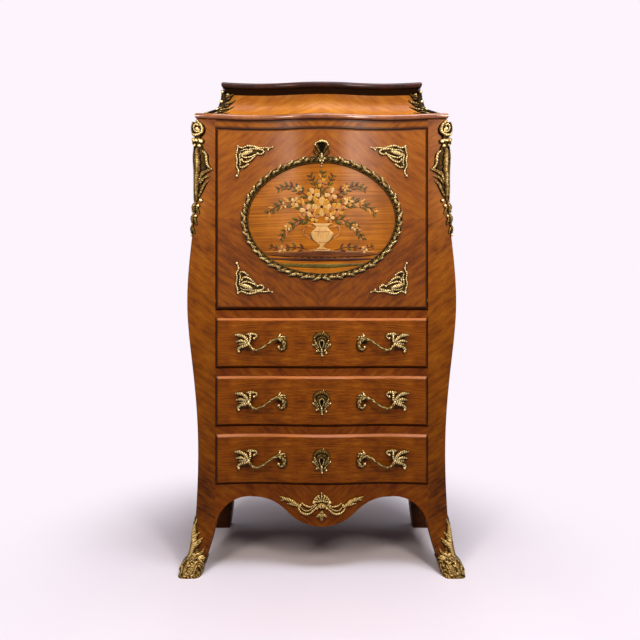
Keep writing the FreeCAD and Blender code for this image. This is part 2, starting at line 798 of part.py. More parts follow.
def lock_bolt(top):
    """Bolt lying drawn back in its lock."""
    deep = BOLT_THICKNESS / 2
    end = top - BOLT_SETBACK
    return block(-BOLT_HALF, BOLT_HALF, bolt_y() - deep, bolt_y() + deep, end - BOLT_LENGTH, end)


def lock_case(inner_y, top, height, key_z):
    case = lock_block(inner_y, top, height).cut(bolt_slot(top))
    return case.cut(keyhole(key_z, inner_y - LOCK_THICKNESS, inner_y - LOCK_THICKNESS / 2))


# Bronze outlines, each as shares of its width and height

ESCUTCHEON_RIGHT = [
    (0, 0.5), (0.22, 0.47), (0.40, 0.34), (0.34, 0.20), (0.50, 0.06),
    (0.36, -0.10), (0.42, -0.22), (0.22, -0.30), (0.14, -0.42),
]
CORNER_OUTLINE = [
    (0, 0.90), (0.28, 1.0), (0.58, 0.93), (0.86, 1.0), (1.0, 0.86), (0.93, 0.56),
    (1.0, 0.28), (0.92, 0), (0.80, 0.30), (0.73, 0.54), (0.60, 0.68), (0.34, 0.80),
]
APRON_RIGHT = [
    (0, 0.46), (0.14, 0.42), (0.25, 0.24), (0.40, 0.30), (0.54, 0.12), (0.70, 0.22), (0.84, 0.44),
    (1.0, 0.5), (0.94, 0.24), (0.78, 0.0), (0.58, -0.10), (0.36, -0.06), (0.23, -0.26), (0.10, -0.42),
]
HANDLE_LEAF_OUTLINE = [
    (-0.50, 0.38), (-0.42, 0.24), (-0.47, 0.06), (-0.40, -0.10), (-0.44, -0.40), (-0.30, -0.26),
    (-0.21, -0.10), (-0.19, 0.18), (-0.08, 0.42), (-0.23, 0.34), (-0.35, 0.5),
]
HANDLE_SCROLL_OUTLINE = [
    (0.31, 0.0), (0.33, 0.27), (0.38, 0.43), (0.43, 0.30), (0.49, 0.17),
    (0.46, -0.04), (0.47, -0.24), (0.40, -0.31), (0.34, -0.17),
]
HANDLE_LINE = [
    (-0.35, 0.42, 0.08), (-0.25, 0.06, 0.50), (-0.16, -0.27, 0.78), (-0.04, -0.34, 0.83),
    (0.12, -0.12, 0.83), (0.26, 0.14, 0.70), (0.36, 0.18, 0.46), (0.43, 0.02, 0.14),
]
STUD_LEAF = (-0.33, 0.05)
STUD_SCROLL = (0.40, 0.05)
CORNER_PIERCINGS = [(0.56, 0.885, 0.07, 0.028), (0.885, 0.52, 0.026, 0.07), (0.70, 0.71, 0.04, 0.03)]
APRON_PIERCINGS = [(0.33, 0.09, 0.055, 0.06), (0.53, 0.0, 0.06, 0.045)]
KNEE_REACH = [
    (0, 0.45), (0.10, 0.66), (0.20, 0.46), (0.33, 0.94),
    (0.46, 0.66), (0.66, 0.44), (0.84, 0.26), (1, 0.12),
]
SHOE_STATIONS = [
    (0, 0.88, 1.0), (0.1, 1.0, 1.0), (0.2, 0.92, 0.82), (0.3, 0.56, 0.5),
    (0.4, 0.3, 0.3), (0.6, 0.2, 0.2), (1, 0.16, 0.16),
]
CREST_MOUNT_OUTLINE = [
    (0, 0.99), (0.42, 0.90), (0.34, 0.68), (0.30, 0.40), (0.44, 0.18), (0.62, 0.04),
    (0, 0.01), (-0.62, 0.04), (-0.44, 0.18), (-0.30, 0.40), (-0.34, 0.68), (-0.42, 0.90),
]


def symmetric(right_half, bottom):
    """Both sides of an outline from its right half, closed at the bottom point."""
    left = [(-u, v) for u, v in reversed(right_half[1:])]
    return right_half + [bottom] + left


def escutcheon(z, key_z, height, proud):
    shape = outline(symmetric(ESCUTCHEON_RIGHT, (0, -0.5)), 0, z, ESCUTCHEON_WIDTH, height)
    plate = applied(shape, proud, ESCUTCHEON_THICKNESS)
    return plate.cut(keyhole(key_z, FRONT - OVERALL_DEPTH, FRONT))


def pierced(plate, holes, x, z, width, height):
    """Oval openings through a plate, each given by its middle and half sizes as shares of the plate."""
    for u, v, half_u, half_v in holes:
        hole = ellipse_prism(half_u * abs(width), half_v * abs(height), x + u * width, z + v * height)
        plate = plate.cut(hole)
    return plate


def grip(x, z):
    """Round S-shaped bar that stands out from the drawer and comes back."""
    points = []
    for u, v, out in HANDLE_LINE:
        y = FRONT - PANEL_PROUD - out * HANDLE_REACH
        points.append(V(x + u * HANDLE_WIDTH, y, z + v * HANDLE_HEIGHT))
    path = Part.Wire([spline(points)])
    along = path.Edges[0].tangentAt(path.Edges[0].FirstParameter)
    section = Part.Wire([Part.makeCircle(HANDLE_GRIP_RADIUS, points[0], along)])
    return path.makePipeShell([section], True, True)


def handle(z):
    """Left-hand cast pull: leaf at the outer end, S-shaped grip, scroll at the inner end."""
    x = -HANDLE_CENTRE
    ends = []
    for points in (HANDLE_LEAF_OUTLINE, HANDLE_SCROLL_OUTLINE):
        shape = outline(points, x, z, HANDLE_WIDTH, HANDLE_HEIGHT)
        ends.append(applied(shape, PANEL_PROUD, HANDLE_LEAF))
    return grip(x, z).fuse(ends)


def stud_points(z):
    """Where the two threaded studs of a left-hand pull pass through the drawer front."""
    points = []
    for u, v in (STUD_LEAF, STUD_SCROLL):
        points.append(V(-HANDLE_CENTRE + u * HANDLE_WIDTH, 0, z + v * HANDLE_HEIGHT))
    return points


def stud(point, inner):
    """Threaded stud cast with a pull, long enough for its nut."""
    start = V(point.x, FRONT - PANEL_PROUD - HANDLE_LEAF / 2, point.z)
    return Part.makeCylinder(STUD_RADIUS, inner + NUT_THICKNESS + STUD_TAIL - start.y, start, V(0, 1, 0))


def nut(point, inner):
    half = NUT_SIDE / 2
    body = block(point.x - half, point.x + half, inner, inner + NUT_THICKNESS, point.z - half, point.z + half)
    return body.cut(stud(point, inner))


# Drawers


def bevelled(board):
    """Bevel the four front edges of a serpentine board."""
    edges = []
    for edge in board.Edges:
        box = edge.BoundBox
        forward = box.YMax < FRONT - PANEL_PROUD + SAME
        level = box.ZLength < SAME and forward
        upright = box.XLength < SAME and box.YLength < SAME and forward
        if level or upright:
            edges.append(edge)
    return board.makeChamfer(EDGE_BEVEL, edges)


def make_drawer(name, base_z):
    """One drawer with its box, pulls, keyhole mount, lock and bolt."""
    z0 = base_z + DRAWER_GAP
    top = base_z + DRAWER_OPENING - DRAWER_GAP
    middle = (z0 + top) / 2
    half = OPENING_HALF - DRAWER_GAP
    inner = FRONT + DRAWER_BACK_PLANE
    front = bevelled(serpentine_board(half, PANEL_PROUD, inner, z0, top))
    side_outer = OPENING_HALF - DRAWER_SIDE_GAP
    side_inner = side_outer - DRAWER_SIDE
    rear = BACK_FACE - DRAWER_REAR_GAP
    run_z = base_z + DRAWER_RUN_GAP
    side_top = top - DRAWER_SIDE_DROP
    bottom_z = z0 + DRAWER_BOTTOM_LIFT
    groove = side_inner + DRAWER_GROOVE
    bottom = block(-groove, groove, inner - DRAWER_GROOVE, rear, bottom_z, bottom_z + DRAWER_BOTTOM)
    side = block(side_inner, side_outer, inner, rear, run_z, side_top).cut(bottom)
    back_z = bottom_z + DRAWER_BOTTOM
    back = block(-side_inner, side_inner, rear - DRAWER_BACK, rear, back_z, side_top - DRAWER_BACK_DROP)
    key_z = middle
    case = lock_case(inner, top, LOCK_HEIGHT, key_z)
    front = front.cut(bottom).cut(lock_block(inner, top, LOCK_HEIGHT))
    front = front.cut(keyhole(key_z, FRONT - OVERALL_DEPTH, inner - LOCK_THICKNESS))
    pull_z = middle + HANDLE_LIFT
    pull = handle(pull_z).cut(front)
    nuts = []
    for point in stud_points(pull_z):
        pull = pull.fuse(stud(point, inner))
        front = front.cut(pair(stud(point, inner)))
        nuts += [nut(point, inner), mirrored(nut(point, inner))]
    save(name + "_front", front)
    save(name + "_sides", pair(side))
    save(name + "_back", back)
    save(name + "_bottom", bottom)
    save(name + "_handles", Part.makeCompound([pull, mirrored(pull)] + nuts))
    save(name + "_escutcheon", escutcheon(middle, key_z, ESCUTCHEON_HEIGHT, PANEL_PROUD))
    save(name + "_lock", case)
    save(name + "_bolt", lock_bolt(top))


# Fall front


def fall_layer(proud, thickness):
    return serpentine_layer(-FALL_HALF, FALL_HALF, proud, thickness, FALL_Z, FALL_TOP)


def oval_frame(z):
    """Raised bronze oval: a flat bed with a bead standing on it."""
    edge = (OVAL_FRAME_WIDTH - OVAL_FRAME_BEAD) / 2
    inner = ellipse_prism(OVAL_HALF_WIDTH, OVAL_HALF_HEIGHT, 0, z)
    outer = ellipse_prism(OVAL_HALF_WIDTH + OVAL_FRAME_WIDTH, OVAL_HALF_HEIGHT + OVAL_FRAME_WIDTH, 0, z)
    bed = outer.cut(inner).common(fall_layer(PANEL_PROUD, MOUNT_BASE))
    bead_inner = ellipse_prism(OVAL_HALF_WIDTH + edge, OVAL_HALF_HEIGHT + edge, 0, z)
    bead_edge = edge + OVAL_FRAME_BEAD
    bead_outer = ellipse_prism(OVAL_HALF_WIDTH + bead_edge, OVAL_HALF_HEIGHT + bead_edge, 0, z)
    bead = bead_outer.cut(bead_inner).common(fall_layer(PANEL_PROUD, OVAL_FRAME_HEIGHT))
    return bed.fuse(bead)


def corner_mount(x, z, x_sign, z_sign):
    """Open bronze angle in a corner of the fall, arms tapering away from the corner."""
    width = x_sign * CORNER_MOUNT_WIDTH
    height = z_sign * CORNER_MOUNT_HEIGHT
    shape = outline(CORNER_OUTLINE, x - width, z - height, width, height)
    plate = applied(shape, PANEL_PROUD, MOUNT_RAISED)
    return pierced(plate, CORNER_PIERCINGS, x - width, z - height, width, height)


def quadrant_stay():
    """Slotted brass quadrant about the pivot, with a foot on the back of the fall."""
    slack = math.degrees((STAY_SLOT / 2 + STAY_SLACK) / STAY_RADIUS)
    tail = STAY_PIN_ANGLE - FALL_SWING
    head = math.degrees(math.acos((FALL_INNER - PIVOT_Y) / (STAY_RADIUS + STAY_WIDTH / 2)))
    x = STAY_OFFSET

    def at(radius, degrees):
        angle = math.radians(degrees)
        return V(x, PIVOT_Y + radius * math.cos(angle), PIVOT_Z + radius * math.sin(angle))

    def sector(inner, outer, start, end):
        middle = (start + end) / 2
        edges = [
            Part.Arc(at(inner, start), at(inner, middle), at(inner, end)).toShape(),
            Part.Arc(at(outer, start), at(outer, middle), at(outer, end)).toShape(),
            line(at(inner, start), at(outer, start)),
            line(at(inner, end), at(outer, end)),
        ]
        return solid_from(edges, V(STAY_THICKNESS, 0, 0))

    half = STAY_WIDTH / 2
    tail_end = tail - STAY_TAIL * slack
    arc = sector(STAY_RADIUS - half, STAY_RADIUS + half, tail_end, head + slack)
    slot_half = STAY_SLOT / 2
    slot = sector(STAY_RADIUS - slot_half, STAY_RADIUS + slot_half, tail - slack, STAY_PIN_ANGLE + slack)
    behind = block(x - MARGIN, x + STAY_THICKNESS + MARGIN, FALL_INNER, BACK, 0, OVERALL_HEIGHT)
    arc = arc.common(behind).cut(slot)
    centre_z = PIVOT_Z + STAY_RADIUS
    foot_z = centre_z - STAY_FOOT_HEIGHT / 2
    foot_y = FALL_INNER + STAY_FOOT_THICKNESS
    foot = block(x, FALL_HALF - MARGIN, FALL_INNER, foot_y, foot_z, foot_z + STAY_FOOT_HEIGHT)
    return arc.fuse(foot).removeSplitter()


def pivot_plate():
    """Brass plate let into the post, carrying the pin on which the fall turns."""
    plate = pivot_plate_pocket(OPENING_HALF, PIVOT_PLATE_THICKNESS)
    start = V(OPENING_HALF - PIVOT_PIN_REACH, PIVOT_Y, PIVOT_Z)
    length = PIVOT_PIN_REACH + PIVOT_PLATE_THICKNESS
    pin = Part.makeCylinder(PIVOT_PIN_RADIUS, length, start, V(1, 0, 0))
    return plate.fuse(pin).removeSplitter()


def pin_bore(radius, length):
    start = V(FALL_HALF - length, PIVOT_Y, PIVOT_Z)
    return Part.makeCylinder(radius, length + FALL_END_GAP, start, V(1, 0, 0))


def pivot_socket():
    """Brass plate let into the end of the fall, bored for the pin."""
    plate = pivot_plate_pocket(FALL_HALF - PIVOT_PLATE_THICKNESS, PIVOT_PLATE_THICKNESS)
    return plate.cut(pin_bore(PIVOT_PIN_RADIUS + RUNNING_CLEARANCE, PIVOT_PIN_REACH))


def make_fall():
    """Serpentine fall with everything that turns with it."""
    middle = (FALL_Z + FALL_TOP) / 2
    panel = bevelled(serpentine_board(FALL_HALF, PANEL_PROUD, FALL_INNER, FALL_Z, FALL_TOP))
    lock_y = FRONT + DRAWER_BACK_PLANE
    key_z = FALL_TOP - FALL_ESCUTCHEON_DROP
    case = lock_case(lock_y, FALL_TOP, FALL_LOCK_HEIGHT, key_z)
    cover = block(-LOCK_HALF, LOCK_HALF, lock_y, FALL_INNER, FALL_TOP - FALL_LOCK_HEIGHT, FALL_TOP)
    lock = case.fuse(cover).removeSplitter()
    leather_top = FALL_TOP - LEATHER_ABOVE
    leather_z = FALL_Z + LEATHER_BELOW
    bed_y = FALL_INNER - LEATHER_THICKNESS
    leather = block(-LEATHER_HALF, LEATHER_HALF, bed_y, FALL_INNER, leather_z, leather_top)
    oval = ellipse_prism(OVAL_HALF_WIDTH, OVAL_HALF_HEIGHT, 0, middle)
    veneer = oval.common(fall_layer(PANEL_PROUD - OVAL_VENEER, OVAL_VENEER))
    socket = pivot_socket()
    sockets = pair(socket)
    panel = panel.cut(lock_block(lock_y, FALL_TOP, FALL_LOCK_HEIGHT).fuse(cover)).cut(leather).cut(veneer)
    plate = pivot_plate_pocket(FALL_HALF - PIVOT_PLATE_THICKNESS, PIVOT_PLATE_THICKNESS)
    bore = pin_bore(PIVOT_PIN_RADIUS + RUNNING_CLEARANCE, PIVOT_PIN_REACH)
    panel = panel.cut(pair(plate.fuse(bore)))
    panel = panel.cut(keyhole(key_z, FRONT - OVERALL_DEPTH, lock_y - LOCK_THICKNESS))
    save("fall_panel", panel)
    save("writing_leather", leather)
    save("marquetry_oval", veneer)
    save("oval_frame", oval_frame(middle))
    save("fall_lock", lock)
    save("fall_bolt", lock_bolt(FALL_TOP))
    save("fall_escutcheon", escutcheon(key_z, key_z, FALL_ESCUTCHEON_HEIGHT, PANEL_PROUD))
    upper_z = FALL_TOP - CORNER_MOUNT_DROP
    lower_z = FALL_Z + CORNER_MOUNT_LIFT
    mounts = []
    for z, z_sign in ((upper_z, 1), (lower_z, -1)):
        for x_sign in (-1, 1):
            mounts.append(corner_mount(x_sign * CORNER_MOUNT_X, z, x_sign, z_sign))
    save("fall_corner_mounts", Part.makeCompound(mounts))
    save("quadrant_stays", pair(quadrant_stay()))
    save("pivot_sockets", sockets)
    save("pivot_plates", pair(pivot_plate()))
    save("stay_pins", pair(stay_pin()))


# Bronze on the posts, feet, crest and apron


def post_front_y(x):
    return POST_FRONT - (x - OPENING_HALF) * POST_SLOPE


def knee_mount(post):
    """Long acanthus mount wrapped round the shoulder of a post, tapering to a drop."""
    skin = front_post_form(KNEE_MOUNT_THICKNESS).cut(post)
    on_front = []
    on_side = []
    for down, share in KNEE_REACH:
        z = POST_TOP - down * KNEE_MOUNT_LENGTH
        half = outer_half(z)
        on_front.append(V(half - share * KNEE_MOUNT_WIDTH, 0, z))
        on_side.append(V(0, post_front_y(half) + share * KNEE_MOUNT_WIDTH, z))
    out = V(2 * BELLY_HALF, 0, 0)
    ahead = V(0, -OVERALL_DEPTH, 0)
    front = [
        spline(on_front),
        line(on_front[0], on_front[0] + out),
        line(on_front[0] + out, on_front[-1] + out),
        line(on_front[-1] + out, on_front[-1]),
    ]
    side = [
        spline(on_side),
        line(on_side[0], on_side[0] + ahead),
        line(on_side[0] + ahead, on_side[-1] + ahead),
        line(on_side[-1] + ahead, on_side[-1]),
    ]
    mount = skin.common(front_prism(Part.Wire(front)))
    return mount.common(solid_from(side, out))


def shoe_section(z, toe_side, toe_front):
    """Rounded outline round the leg at a height, grown more to the toe."""
    outer = outer_half(z)
    inner = crossing(shin_edge(FRONT_FOOT_INNER), z).x if z < LEG_KNEE_Z else OPENING_HALF
    front_y = crossing(front_sweep(0), z).y - (outer - OPENING_HALF) * POST_SLOPE
    back_y = crossing(back_sweep(), z).y - (inner - OPENING_HALF) * POST_SLOPE
    x0 = inner - SABOT_TOP_THICKNESS
    x1 = outer + toe_side
    y0 = front_y - toe_front
    y1 = back_y + SABOT_TOP_THICKNESS
    points = []
    for step in range(SHOE_STEPS):
        angle = 2 * math.pi * step / SHOE_STEPS
        across = math.copysign(abs(math.cos(angle)) ** SHOE_SQUARENESS, math.cos(angle))
        along = math.copysign(abs(math.sin(angle)) ** SHOE_SQUARENESS, math.sin(angle))
        points.append(V((x0 + x1) / 2 + across * (x1 - x0) / 2, (y0 + y1) / 2 + along * (y1 - y0) / 2, z))
    return closed_spline(points)


def sabot(post):
    """Bronze shoe: a scrolled toe at the floor, rising to a leaf on the outer edge of the leg."""
    sections = []
    for up, side_share, front_share in SHOE_STATIONS:
        toe_side = max(SABOT_TOE_SIDE * side_share, SABOT_TOP_THICKNESS)
        toe_front = max(SABOT_TOE_FRONT * front_share, SABOT_TOP_THICKNESS)
        sections.append(shoe_section(up * SABOT_HEIGHT, toe_side, toe_front))
    shoe = Part.makeLoft(sections, True, False).cut(post)
    inside = FRONT_FOOT_INNER - POST_DEPTH
    outside = BELLY_HALF + POST_DEPTH
    leaf = [
        V(FRONT_FOOT_INNER, 0, SABOT_INNER_HEIGHT),
        V((FRONT_FOOT_INNER + ANKLE_HALF) / 2, 0, SABOT_HEIGHT * SABOT_LEAF_SHARE),
        V(ANKLE_HALF, 0, SABOT_HEIGHT),
    ]
    edges = [
        line(V(inside, 0, SABOT_INNER_HEIGHT), leaf[0]),
        spline(leaf),
        line(leaf[-1], V(outside, 0, SABOT_HEIGHT)),
        line(V(outside, 0, SABOT_HEIGHT), V(outside, 0, 0)),
        line(V(outside, 0, 0), V(inside, 0, 0)),
        line(V(inside, 0, 0), V(inside, 0, SABOT_INNER_HEIGHT)),
    ]
    return shoe.common(front_prism(Part.Wire(edges)))


def crest_mount(body):
    """Bronze rib laid over the mitre of the crest, spreading at head and foot."""
    skin = crest_body(CREST_MOUNT_THICKNESS).cut(body)
    foot = V(COVE_FOOT_HALF, FRONT - serpentine(COVE_FOOT_HALF) - COVE_FOOT_PROUD, COVE_Z)
    lean = math.sqrt(0.5)
    across = V(lean, lean, 0)
    outward = V(lean, -lean, 0)
    points = []
    for u, v in CREST_MOUNT_OUTLINE:
        points.append(foot + across * u * CREST_MOUNT_WIDTH + V(0, 0, v * COVE_HEIGHT))
    reach = outward * 2 * COVE_REACH
    prism = Part.Face(closed_spline([point - reach for point in points])).extrude(reach * 2)
    return skin.common(prism)


def make_mounts(post, body):
    save("knee_mounts", pair(knee_mount(post)))
    save("sabots", pair(sabot(post)))
    save("crest_mounts", pair(crest_mount(body)))
    shape = outline(symmetric(APRON_RIGHT, (0, -0.5)), 0, APRON_MOUNT_Z, APRON_MOUNT_HALF, APRON_MOUNT_HEIGHT)
    holes = APRON_PIERCINGS + [(-u, v, half_u, half_v) for u, v, half_u, half_v in APRON_PIERCINGS]
    plate = applied(shape, 0, MOUNT_RAISED)
    save("apron_mount", pierced(plate, holes, 0, APRON_MOUNT_Z, APRON_MOUNT_HALF, APRON_MOUNT_HEIGHT))


os.makedirs("parts", exist_ok=True)
front_post_solid = make_posts()
make_carcass()
crest_solid = make_crest()
make_desk()
make_drawer("top_drawer", UPPER_RAIL_Z + DRAWER_RAIL)
make_drawer("middle_drawer", LOWER_RAIL_Z + DRAWER_RAIL)
make_drawer("bottom_drawer", DRAWER_BASE_Z)
make_fall()
make_mounts(front_post_solid, crest_solid)
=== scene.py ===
import math

import bmesh
import bpy
from mathutils import Matrix, Vector
from mathutils.bvhtree import BVHTree


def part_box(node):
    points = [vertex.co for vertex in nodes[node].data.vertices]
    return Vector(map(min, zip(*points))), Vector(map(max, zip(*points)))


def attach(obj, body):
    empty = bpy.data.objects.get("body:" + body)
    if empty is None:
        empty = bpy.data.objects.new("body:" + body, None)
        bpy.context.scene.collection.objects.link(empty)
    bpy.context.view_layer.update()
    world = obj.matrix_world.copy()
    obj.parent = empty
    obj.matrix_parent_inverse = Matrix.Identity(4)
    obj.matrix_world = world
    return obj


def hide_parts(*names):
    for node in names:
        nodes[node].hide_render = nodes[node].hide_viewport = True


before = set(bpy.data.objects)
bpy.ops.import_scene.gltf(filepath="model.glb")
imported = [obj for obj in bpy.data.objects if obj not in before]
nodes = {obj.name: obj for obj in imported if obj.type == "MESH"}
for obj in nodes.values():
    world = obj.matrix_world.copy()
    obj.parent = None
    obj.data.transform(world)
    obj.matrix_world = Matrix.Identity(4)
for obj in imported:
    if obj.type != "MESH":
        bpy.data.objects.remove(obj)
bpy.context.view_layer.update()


# Posts and legs: four uprights of solid oak, sawn to the swelling outline of the sides and faced with
# kingwood veneer. The leaves of veneer slant, so that the grain of both front posts falls to the middle.

def colour(code):
    """An sRGB hex code as linear light."""
    parts = [int(code[at:at + 2], 16) / 255 for at in (1, 3, 5)]
    return [part / 12.92 if part < 0.04045 else ((part + 0.055) / 1.055) ** 2.4 for part in parts] + [1]


def add(tree, kind, inputs=None, **settings):
    """A shader node with its settings, its values and its links."""
    node = tree.nodes.new("ShaderNode" + kind)
    for key, value in settings.items():
        setattr(node, key, value)
    for key, value in (inputs or {}).items():
        if isinstance(value, bpy.types.Node):
            value = value.outputs[0]
        if isinstance(value, bpy.types.NodeSocket):
            tree.links.new(value, node.inputs[key])
        else:
            node.inputs[key].default_value = value
    return node


def finish_of(name, **values):
    """A new material with plain values on its surface shader."""
    material = bpy.data.materials.new(name)
    material.use_nodes = True
    shader = material.node_tree.nodes["Principled BSDF"]
    for key, value in values.items():
        shader.inputs[key.replace("_", " ")].default_value = value
    return material, material.node_tree, shader


def tone_ramp(tree, factor, tones, low, high):
    """Spreads tones, dark to light, evenly from low to high."""
    node = add(tree, "ValToRGB", {0: factor})
    stops = node.color_ramp.elements
    while len(stops) < len(tones):
        stops.new(0.5)
    for index, tone in enumerate(tones):
        stops[index].position = low + (high - low) * index / (len(tones) - 1)
        stops[index].color = colour(tone)
    return node


def show(tree, shader, tone, rough, bump):
    """Joins colour, roughness and fine relief to the surface shader."""
    for key, node in (("Base Color", tone), ("Roughness", rough), ("Normal", bump)):
        tree.links.new(node.outputs[0], shader.inputs[key])


def veneer(name, tones, lean, plane="XZ", halved=True, quarter_at=None, bow=0.0, ribbon=(0.06, 0.011),
           gum=0.25, painted_shade_below=None, painted_lower_shade=0.0, rim=None, painted_lightness=0.0, coat=0.15, shine=0.24):
    """Polished veneer. The figure lies at lean degrees, mirrored about the middle (halved) and about a level
    (quarter_at); bow bends it. Gives a mottle of broken ribbons, dark gum lines, fine pores and the soft
    sheen of french polish. Leaves under the level are painted darker as shade (painted_lower_shade). Between
    two heights the wood is painted darker downward as shade (painted_shade_below); painted shade lies along
    the edges of a box (rim), but a top edge takes a painted highlight instead (painted_lightness)."""
    material, tree, shader = finish_of(name, Coat_Weight=coat, Coat_Roughness=shine, Specular_IOR_Level=0.06)
    axes = add(tree, "SeparateXYZ", {0: add(tree, "TexCoord").outputs["Object"]})
    across = axes.outputs[plane[0]]
    up = axes.outputs[plane[1]]
    shade = 0.0
    # Painted shade: the figure darkens downward between two heights.
    if painted_shade_below:
        low, high, depth = painted_shade_below
        shade = add(tree, "MapRange", {0: axes.outputs["Z"], 1: low, 2: high, 3: -depth, 4: 0.0}).outputs[0]
    if halved:
        across = add(tree, "Math", {0: across}, operation="ABSOLUTE").outputs[0]
    painted_edge_shade = painted_highlight = 0.0
    # Painted shade in bands along the sides and foot of the box, and along its head unless that takes a
    # painted highlight.
    if rim:
        low, high = rim
        side = add(tree, "Math", {0: high.x, 1: across}, operation="SUBTRACT")
        foot = add(tree, "Math", {0: up, 1: low.z}, operation="SUBTRACT")
        head = add(tree, "Math", {0: high.z, 1: up}, operation="SUBTRACT")
        inset = add(tree, "Math", {0: side, 1: foot}, operation="MINIMUM")
        # Painted highlight in a band along the top edge.
        if painted_lightness:
            painted_highlight = add(tree, "MapRange", {0: head, 1: 0.004, 2: 0.008, 3: painted_lightness, 4: 0.0}).outputs[0]
        else:
            inset = add(tree, "Math", {0: inset, 1: head}, operation="MINIMUM")
        painted_edge_shade = add(tree, "MapRange", {0: inset, 1: 0.003, 2: 0.008, 3: 0.85, 4: 0.0}).outputs[0]
    if quarter_at is not None:
        level = add(tree, "Math", {0: up, 1: quarter_at}, operation="SUBTRACT")
        # Painted shade: leaves under the level are drawn darker.
        under = add(tree, "Math", {0: level, 1: 0.0}, operation="LESS_THAN")
        shade = add(tree, "Math", {0: under, 1: -painted_lower_shade}, operation="MULTIPLY").outputs[0]
        up = add(tree, "Math", {0: level}, operation="ABSOLUTE").outputs[0]
    if bow:
        square = add(tree, "Math", {0: across, 1: across}, operation="MULTIPLY")
        up = add(tree, "Math", {0: square, 1: bow, 2: up}, operation="MULTIPLY_ADD").outputs[0]
    if plane == "XZ":
        across = add(tree, "Math", {0: across, 1: axes.outputs["Y"]}, operation="ADD").outputs[0]
    flat = add(tree, "CombineXYZ", {0: across, 1: up})
    # The grain sways over about 110 mm, and the clouds in it are about 70 mm across.
    sway = add(tree, "TexNoise", {"Vector": flat, "Scale": 9.0, "Detail": 2.0})
    bent = add(tree, "VectorMath", {0: sway.outputs["Color"], 1: (0.018, 0.018, 0), 2: flat},
               operation="MULTIPLY_ADD")
    stripe, pore, gum_line = (0.025, 0.0018), (0.006, 0.0005), (0.10, 0.004)
    streaks = []
    for length, width, detail in ((*ribbon, 3.0), (*stripe, 3.0), (*pore, 1.0), (*gum_line, 0.0)):
        flow = add(tree, "Mapping", {"Vector": bent, "Rotation": (0, 0, math.radians(lean)),
                                     "Scale": (length, width, width)}, vector_type="TEXTURE")
        streaks.append(add(tree, "TexNoise", {"Vector": flow, "Scale": 1.0, "Detail": detail,
                                              "Roughness": 0.55}))
    cloud = add(tree, "TexNoise", {"Vector": flat, "Scale": 14.0, "Detail": 4.0, "Roughness": 0.55})
    figure = add(tree, "Math", {0: streaks[0], 1: 0.34, 2: shade}, operation="MULTIPLY_ADD")
    figure = add(tree, "Math", {0: streaks[1], 1: 0.30, 2: figure}, operation="MULTIPLY_ADD")
    figure = add(tree, "Math", {0: cloud, 1: 0.38, 2: figure}, operation="MULTIPLY_ADD")
    wood = tone_ramp(tree, figure, tones, 0.36, 0.68)
    pores = add(tree, "MapRange", {0: streaks[2], 1: 0.56, 2: 0.70, 3: 0.0, 4: 0.45})
    lines = add(tree, "MapRange", {0: streaks[3], 1: 0.66, 2: 0.74, 3: 0.0, 4: gum})
    dark = add(tree, "Math", {0: pores, 1: lines}, operation="MAXIMUM")
    wood = add(tree, "MixRGB", {0: dark, 1: wood, 2: colour(tones[0])})
    # Painted highlight on the top edge, then painted shade round the box.
    wood = add(tree, "MixRGB", {0: painted_highlight, 1: wood, 2: colour("#d98c50")})
    wood = add(tree, "MixRGB", {0: painted_edge_shade, 1: wood, 2: colour("#1c0a02")})
    rough = add(tree, "Math", {0: streaks[1], 1: 0.2, 2: 0.4}, operation="MULTIPLY_ADD")
    relief = add(tree, "Math", {0: streaks[2], 1: 0.5, 2: streaks[1]}, operation="MULTIPLY_ADD")
    bump = add(tree, "Bump", {"Height": relief, "Strength": 0.10, "Distance": 0.0004})
    show(tree, shader, wood, rough, bump)
    return material


def dress(material, slot, *names):
    """Gives solid pieces their finish."""
    for name in names:
        nodes[name].data.materials.clear()
        nodes[name].data.materials.append(material)


POST_TONES = ("#482000", "#824503", "#9c5a08", "#b8781c")
# The front posts are painted darker toward the floor, below 0.7 m, as shade.
post_kingwood = veneer("kingwood on the posts", POST_TONES, 40, painted_shade_below=(0.0, 0.7, 0.09))
dress(post_kingwood, "veneer", "front_left_post", "front_right_post")
# The rear posts take much darker tones than the front ones: painted shade.
rear_kingwood_painted_dark = veneer("kingwood on the rear posts, painted dark as shade", ("#241004", "#47220a", "#5c300f", "#744319"), 40)
dress(rear_kingwood_painted_dark, "veneer", "rear_left_post", "rear_right_post")


# Sides: one swelling board between each pair of posts, veneered in four matched quarters with the
# grain running to the middle of each edge, as on the fall.
side_level = sum(corner.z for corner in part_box("left_side_panel")) / 2
side_kingwood = veneer("kingwood on the sides", POST_TONES, -42, plane="YZ", quarter_at=side_level)
dress(side_kingwood, "veneer", "left_side_panel", "right_side_panel")


# Rails and apron: serpentine strips between the posts, over and under the fall and the drawers, faced
# with short slanting leaves that meet in a V on the middle line.
rail_kingwood = veneer("kingwood on the rails", ("#481c00", "#7c3b03", "#945008", "#ae6c1a"), 38)
dress(rail_kingwood, "veneer", "sill_rail", "drawer_rails", "front_apron")
# The frieze is the rails' kingwood in lighter tones, a painted sheen, with painted shade along its top and
# bottom edges.
frieze_low, frieze_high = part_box("frieze_rail")
frieze_kingwood_painted_sheen = veneer("kingwood on the frieze, painted lighter as sheen", ("#542804", "#90500f", "#a6661c", "#c08438"), 38,
                         rim=(frieze_low, Vector((1, 0, frieze_high.z))))
dress(frieze_kingwood_painted_sheen, "veneer", "frieze_rail")


# Hidden boards of the carcass: bottom, dust board, runners and back, plain sawn oak left from the
# plane, dry and unpolished, with its long pores open.

